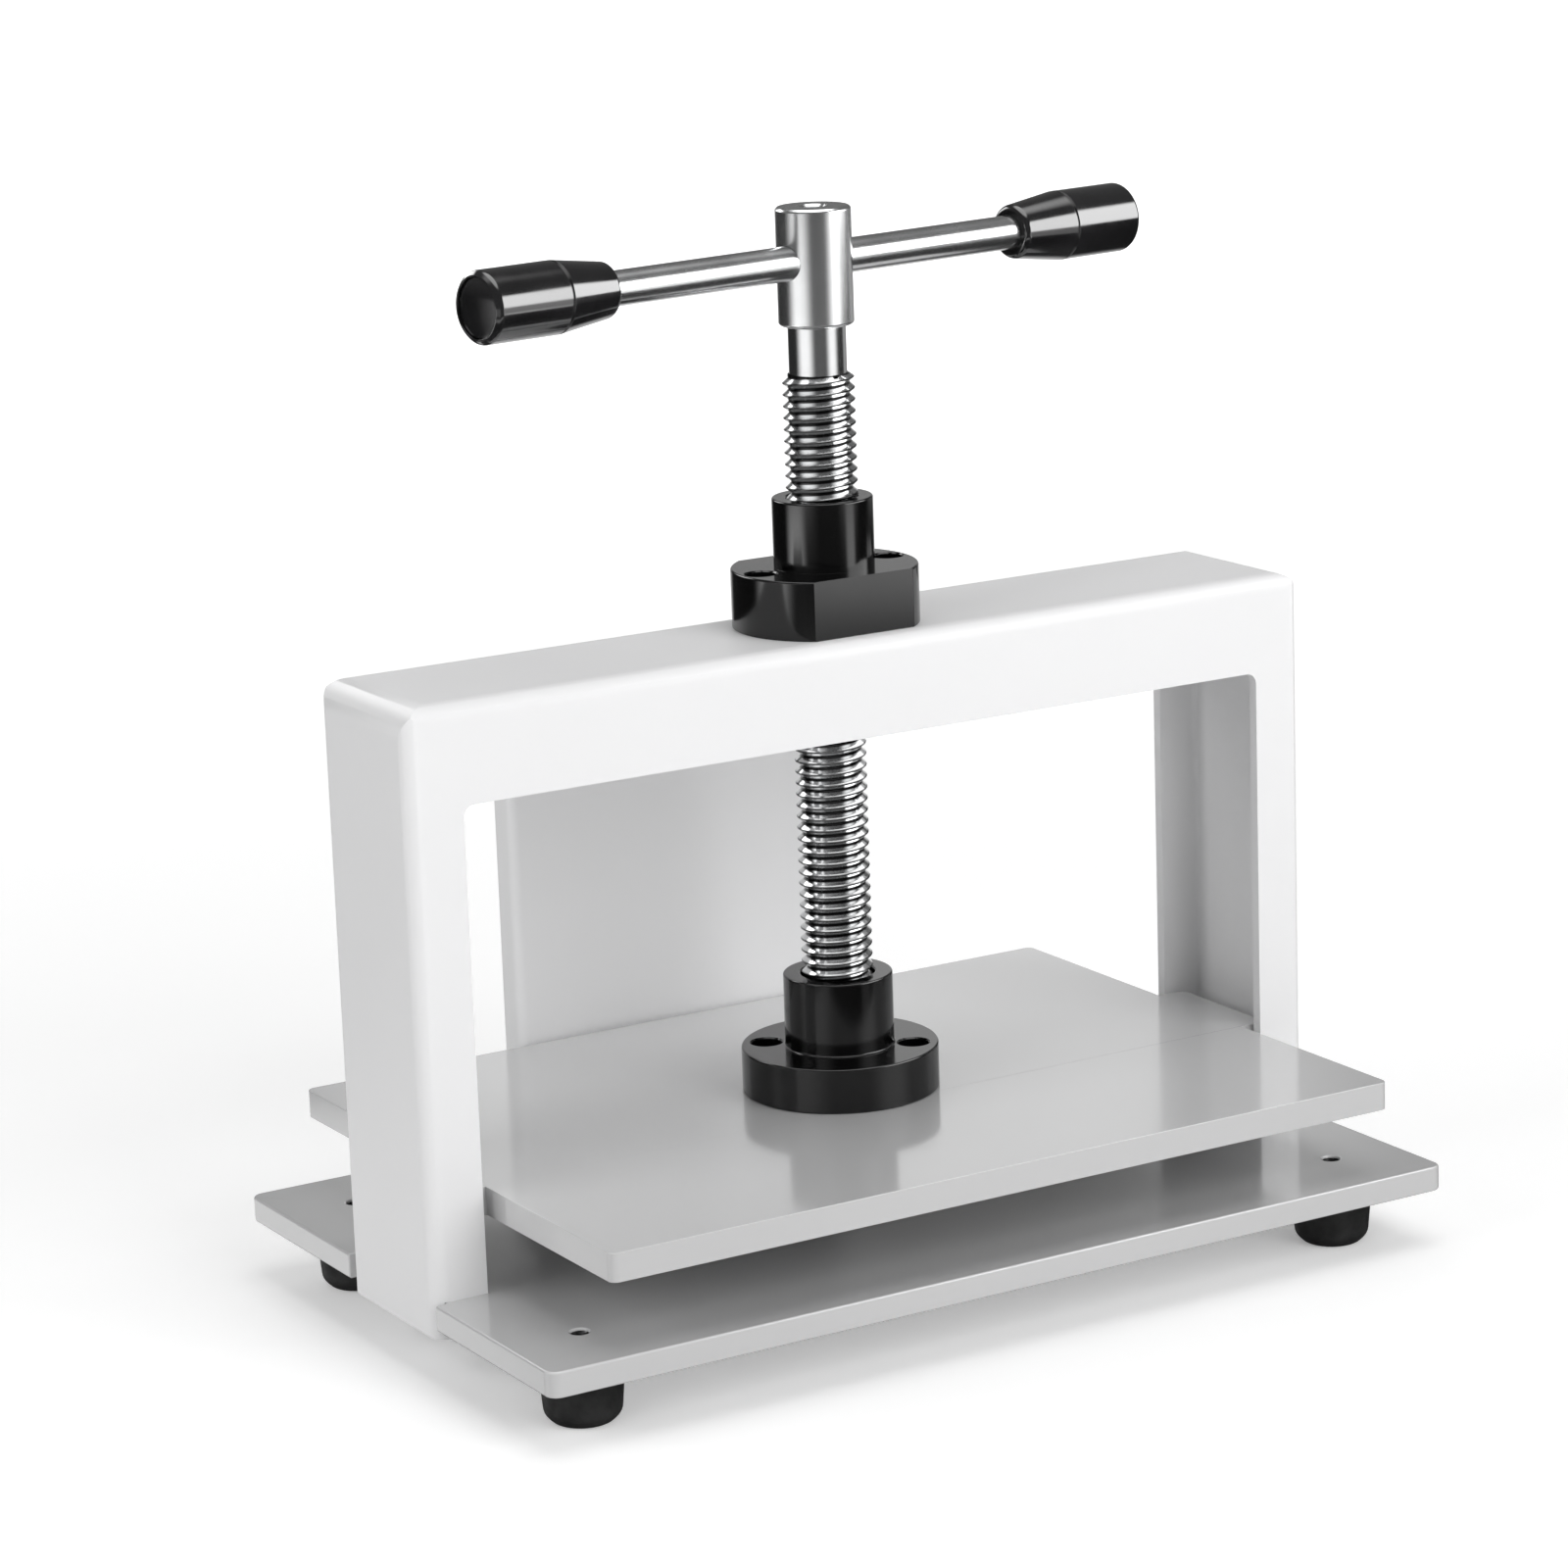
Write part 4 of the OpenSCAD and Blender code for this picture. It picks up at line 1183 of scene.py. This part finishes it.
class PRESS_OT_fasteners(bpy.types.Operator):
    """Gives the fasteners, the collar and the thrust washer their finishes."""

    bl_idname = "press.fasteners"
    bl_label = "Fasteners"

    def execute(self, context):
        finishes = {
            zinc_plate: ("foot_washers", "foot_screws", "frame_washers", "frame_bolts", "nut_washers", "nut_hex_nuts",
                         "rear_stop_screws", "retaining_collar", "collar_screw", "head_screw"),
            blackened_steel: ("nut_screws", "seat_screws"),
            turned_brass: ("thrust_washer",),
        }
        for finish, nodes in finishes.items():
            for node in nodes:
                mesh = frame["nodes"][node].data
                mesh.materials.clear()
                mesh.materials.append(finish())
        return {"FINISHED"}


# Studio

def towards(azimuth, elevation):
    """The direction from the press to a place round it, with azimuth from the front."""
    level = math.cos(elevation)
    return Vector((math.sin(azimuth) * level, -math.cos(azimuth) * level, math.sin(elevation)))


class PRESS_OT_stage(bpy.types.Operator):
    """Sets up the floor, the lights, the studio round the press and the camera."""

    bl_idname = "press.stage"
    bl_label = "Studio"

    def floor(self, stage):
        """A wide pale floor that lies under the feet."""
        floor = added(bpy.ops.mesh.primitive_plane_add, "floor", size=60, location=(0, 0, 0))
        finish = Finish("Studio floor")
        finish.set(Specular_IOR_Level=0.0, Emission_Color=(1, 1, 1, 1))
        finish.surface(colours().floor, cloud=(0.6, 0.995, 1.0), rough=(3.0, 0.85, 0.95))
        tree = finish.tree
        near, far = 0.3, 3.0
        away = add(tree, "ShaderNodeVectorMath", {0: finish.coordinates}, operation="LENGTH").outputs["Value"]
        fade = ease(tree, away, near, far, stage.floor_near, stage.floor_far)
        seen = add(tree, "ShaderNodeLightPath").outputs["Is Camera Ray"]
        finish.set(Emission_Strength=maths(tree, "MULTIPLY_ADD", seen, fade, stage.floor_glow))
        floor.data.materials.append(finish.material)
        floor.visible_glossy = False

    def soft_boxes(self, stage):
        """Square area lights that look at the press."""
        boxes = (  # name, azimuth and elevation in degrees, width, power
            ("key", 15, 20, 2.4, stage.key),
            ("fill", -95, 25, 2.0, stage.fill),
            ("top", 10, 78, 2.0, stage.top),
            ("back", 165, 30, 2.4, stage.back),
        )
        for name, azimuth, elevation, width, power in boxes:
            out = towards(math.radians(azimuth), math.radians(elevation))
            spot = Vector(stage.target) + out * LIGHT_DISTANCE
            light = added(bpy.ops.object.light_add, name, type="AREA", location=spot)
            light.data.size = width
            light.data.energy = power
            light.visible_glossy = False
            light.rotation_euler = out.to_track_quat("Z", "Y").to_euler()

    def reflector(self, piece):
        """Lets only shiny surfaces see a piece. Gives the nodes of its glowing material and their strength socket."""
        settle(piece)
        for ray in ("camera", "diffuse", "shadow", "transmission", "volume_scatter"):
            setattr(piece, f"visible_{ray}", False)
        material = bpy.data.materials.new(piece.name)
        material.use_nodes = True
        tree = material.node_tree
        tree.nodes.remove(tree.nodes["Principled BSDF"])
        glow = add(tree, "ShaderNodeEmission")
        put(tree, tree.nodes["Material Output"].inputs["Surface"], glow.outputs["Emission"])
        piece.data.materials.append(material)
        return tree, glow.inputs["Strength"]

    def card(self, stage, name, azimuths, heights, strength):
        """An upright reflector between two azimuths in degrees and two heights, brightest in its middle."""
        (start, end), (low, high) = azimuths, heights
        core, edge = 0.3, 0.5
        out = towards(math.radians((start + end) / 2), 0)
        half = stage.tent_radius * math.tan(math.radians((end - start) / 2))
        card = added(bpy.ops.mesh.primitive_plane_add, name, size=1)
        card.scale = (2 * half, high - low, 1)
        card.rotation_euler = (-out).to_track_quat("Z", "Y").to_euler()
        card.location = AXIS + out * stage.tent_radius + Vector((0, 0, (low + high) / 2))
        tree, glow = self.reflector(card)
        across = split(tree, add(tree, "ShaderNodeTexCoord").outputs["UV"])
        for axis in ("X", "Y"):
            away = maths(tree, "ABSOLUTE", maths(tree, "SUBTRACT", across[axis], 0.5))
            strength = maths(tree, "MULTIPLY", ease(tree, away, core, edge, 1.0, 0.0), strength)
        put(tree, glow, strength)

    def beam_card(self, stage):
        """A level reflector in the beam's channel."""
        low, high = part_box("frame")
        sheet = sizes().sheet
        share = 0.7
        spot = AXIS + Vector((0, 0, high.z - 2 * sheet))
        card = added(bpy.ops.mesh.primitive_plane_add, "beam_card", size=1, location=spot)
        card.scale = (share * (high.x - low.x), high.y - low.y - 2 * sheet, 1)
        tree, glow = self.reflector(card)
        put(tree, glow, stage.beam)

    def tent(self, stage):
        """A low round wall that only shiny surfaces see, dark but for soft upright strips."""
        floor, nut, head, top = -1.0, 0.115, 0.165, 1.0  # heights between which one band of strips lies
        soft = 0.012  # half the height over which a band fades
        strips = (  # middle, core and reach in degrees, lowest and highest point, share of the strips' brightness
            (-80, 10, 44, head, top, 1.0),
            (30, 6, 30, head, top, 1.0),
            (104, 5, 20, head, top, 0.3),
            (-20, 40, 90, head, top, 0.08),
            (-95, 8, 30, nut, head, 3.6),
            (32, 5, 15, nut + 0.008, head, 2.4),
            (-98, 6, 22, floor, nut, 0.6),
            (-30, 20, 55, 0.005, nut - 0.02, 0.8),
            (28, 4, 14, floor, nut, 0.2),
            (150, 12, 32, floor, top, 0.68),
            (-150, 10, 30, floor, -0.075, 0.75),
        )
        centre = AXIS + Vector((0, 0, (stage.tent_high - stage.tent_low) / 2))
        wall = added(bpy.ops.mesh.primitive_cylinder_add, "tent", vertices=128, radius=stage.tent_radius,
                     depth=stage.tent_high + stage.tent_low, end_fill_type="NOTHING", location=centre)
        tree, glow = self.reflector(wall)
        spot = split(tree, add(tree, "ShaderNodeTexCoord").outputs["Object"])
        azimuth = maths(tree, "ARCTAN2", spot["X"], maths(tree, "MULTIPLY", spot["Y"], -1.0))
        total = stage.tent
        for middle, core, reach, low, high, share in strips:
            away = maths(tree, "WRAP", maths(tree, "SUBTRACT", azimuth, math.radians(middle)), math.pi, -math.pi)
            fade = ease(tree, maths(tree, "ABSOLUTE", away), math.radians(core), math.radians(reach),
                        stage.strips * share, 0.0)
            band = maths(tree, "MULTIPLY", ease(tree, spot["Z"], low - soft, low + soft),
                         ease(tree, spot["Z"], high - soft, high + soft, 1.0, 0.0))
            total = maths(tree, "MULTIPLY_ADD", fade, band, total)
        put(tree, glow, total)

    def studio(self, stage):
        """Even light all round, darker in reflections and white behind the press."""
        world = bpy.context.scene.world or bpy.data.worlds.new("Studio")
        bpy.context.scene.world = world
        world.use_nodes = True
        tree = world.node_tree
        tree.nodes.clear()
        height = split(tree, add(tree, "ShaderNodeTexCoord").outputs["Generated"])["Z"]
        horizon, dome, peak = 0.05, 0.78, 0.90
        level = ease(tree, height, -horizon, horizon, stage.depth_gloss, stage.sky_gloss)
        above = ease(tree, height, dome, peak, 0.0, stage.zenith)
        even, mirrored, seen = [
            add(tree, "ShaderNodeBackground", {"Color": (1, 1, 1, 1), "Strength": strength}).outputs["Background"]
            for strength in (stage.sky, maths(tree, "ADD", level, above), 1.0)
        ]
        ray = add(tree, "ShaderNodeLightPath").outputs
        lit = add(tree, "ShaderNodeMixShader", {"Fac": ray["Is Glossy Ray"], 1: even, 2: mirrored})
        shown = add(tree, "ShaderNodeMixShader", {"Fac": ray["Is Camera Ray"], 1: lit.outputs["Shader"], 2: seen})
        add(tree, "ShaderNodeOutputWorld", {"Surface": shown.outputs["Shader"]})

    def camera(self, stage):
        """A camera at the picture's viewing angle."""
        camera = added(bpy.ops.object.camera_add, "camera")
        camera.data.sensor_width = 36.0
        camera.data.lens = stage.lens
        camera.data.clip_end = 200.0
        back = towards(stage.azimuth, stage.elevation)
        level = Vector((math.cos(stage.azimuth), math.sin(stage.azimuth), 0))
        upright = back.cross(level)
        right = level * math.cos(stage.roll) + upright * math.sin(stage.roll)
        up = upright * math.cos(stage.roll) - level * math.sin(stage.roll)
        turned = Matrix((right, up, back)).transposed().to_4x4()
        camera.matrix_world = Matrix.Translation(Vector(stage.target) + back * stage.distance) @ turned
        bpy.context.scene.camera = camera

    def execute(self, context):
        stage = context.scene.press_stage
        self.floor(stage)
        self.soft_boxes(stage)
        self.tent(stage)
        self.card(stage, "overhead_card", azimuths=(18, 86), heights=(0.28, 0.76), strength=stage.overhead)
        self.beam_card(stage)
        self.card(stage, "rear_card", azimuths=(180, 218), heights=(0.40, 0.80), strength=stage.rear)
        self.card(stage, "low_rear_card", azimuths=(118, 178), heights=(0.33, 0.42), strength=stage.rear * 0.12)
        self.studio(stage)
        self.camera(stage)
        context.scene.view_settings.view_transform = "Standard"
        return {"FINISHED"}


class PRESS_PT_sidebar(bpy.types.Panel):
    """Lists the press's operators, sizes and colours."""

    bl_label = "Screw press"
    bl_idname = "PRESS_PT_sidebar"
    bl_space_type = "VIEW_3D"
    bl_region_type = "UI"
    bl_category = "Press"

    def draw(self, context):
        column = self.layout.column(align=True)
        for operator in OPERATORS:
            column.operator(operator.bl_idname)
        for group in (context.scene.press_sizes, context.scene.press_colours, context.scene.press_stage):
            box = self.layout.box()
            for name in group.__annotations__:
                box.prop(group, name)


GROUPS = (PressSizes, PressColours, PressStage)
OPERATORS = (
    PRESS_OT_base_plate, PRESS_OT_rubber_feet, PRESS_OT_portal, PRESS_OT_rear_stop, PRESS_OT_pressing_plate,
    PRESS_OT_top_nut, PRESS_OT_screw_seat, PRESS_OT_lead_screw, PRESS_OT_handle, PRESS_OT_grips,
    PRESS_OT_fasteners, PRESS_OT_stage,
)


def register():
    for item in GROUPS + OPERATORS + (PRESS_PT_sidebar,):
        bpy.utils.register_class(item)
    bpy.types.Scene.press_sizes = PointerProperty(type=PressSizes)
    bpy.types.Scene.press_colours = PointerProperty(type=PressColours)
    bpy.types.Scene.press_stage = PointerProperty(type=PressStage)


def unregister():
    del bpy.types.Scene.press_stage
    del bpy.types.Scene.press_colours
    del bpy.types.Scene.press_sizes
    for item in reversed(GROUPS + OPERATORS + (PRESS_PT_sidebar,)):
        bpy.utils.unregister_class(item)


def main():
    """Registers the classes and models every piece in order."""
    register()
    for operator in OPERATORS:
        group, name = operator.bl_idname.split(".")
        getattr(getattr(bpy.ops, group), name)()
    bpy.context.view_layer.update()


if __name__ == "__main__":
    main()
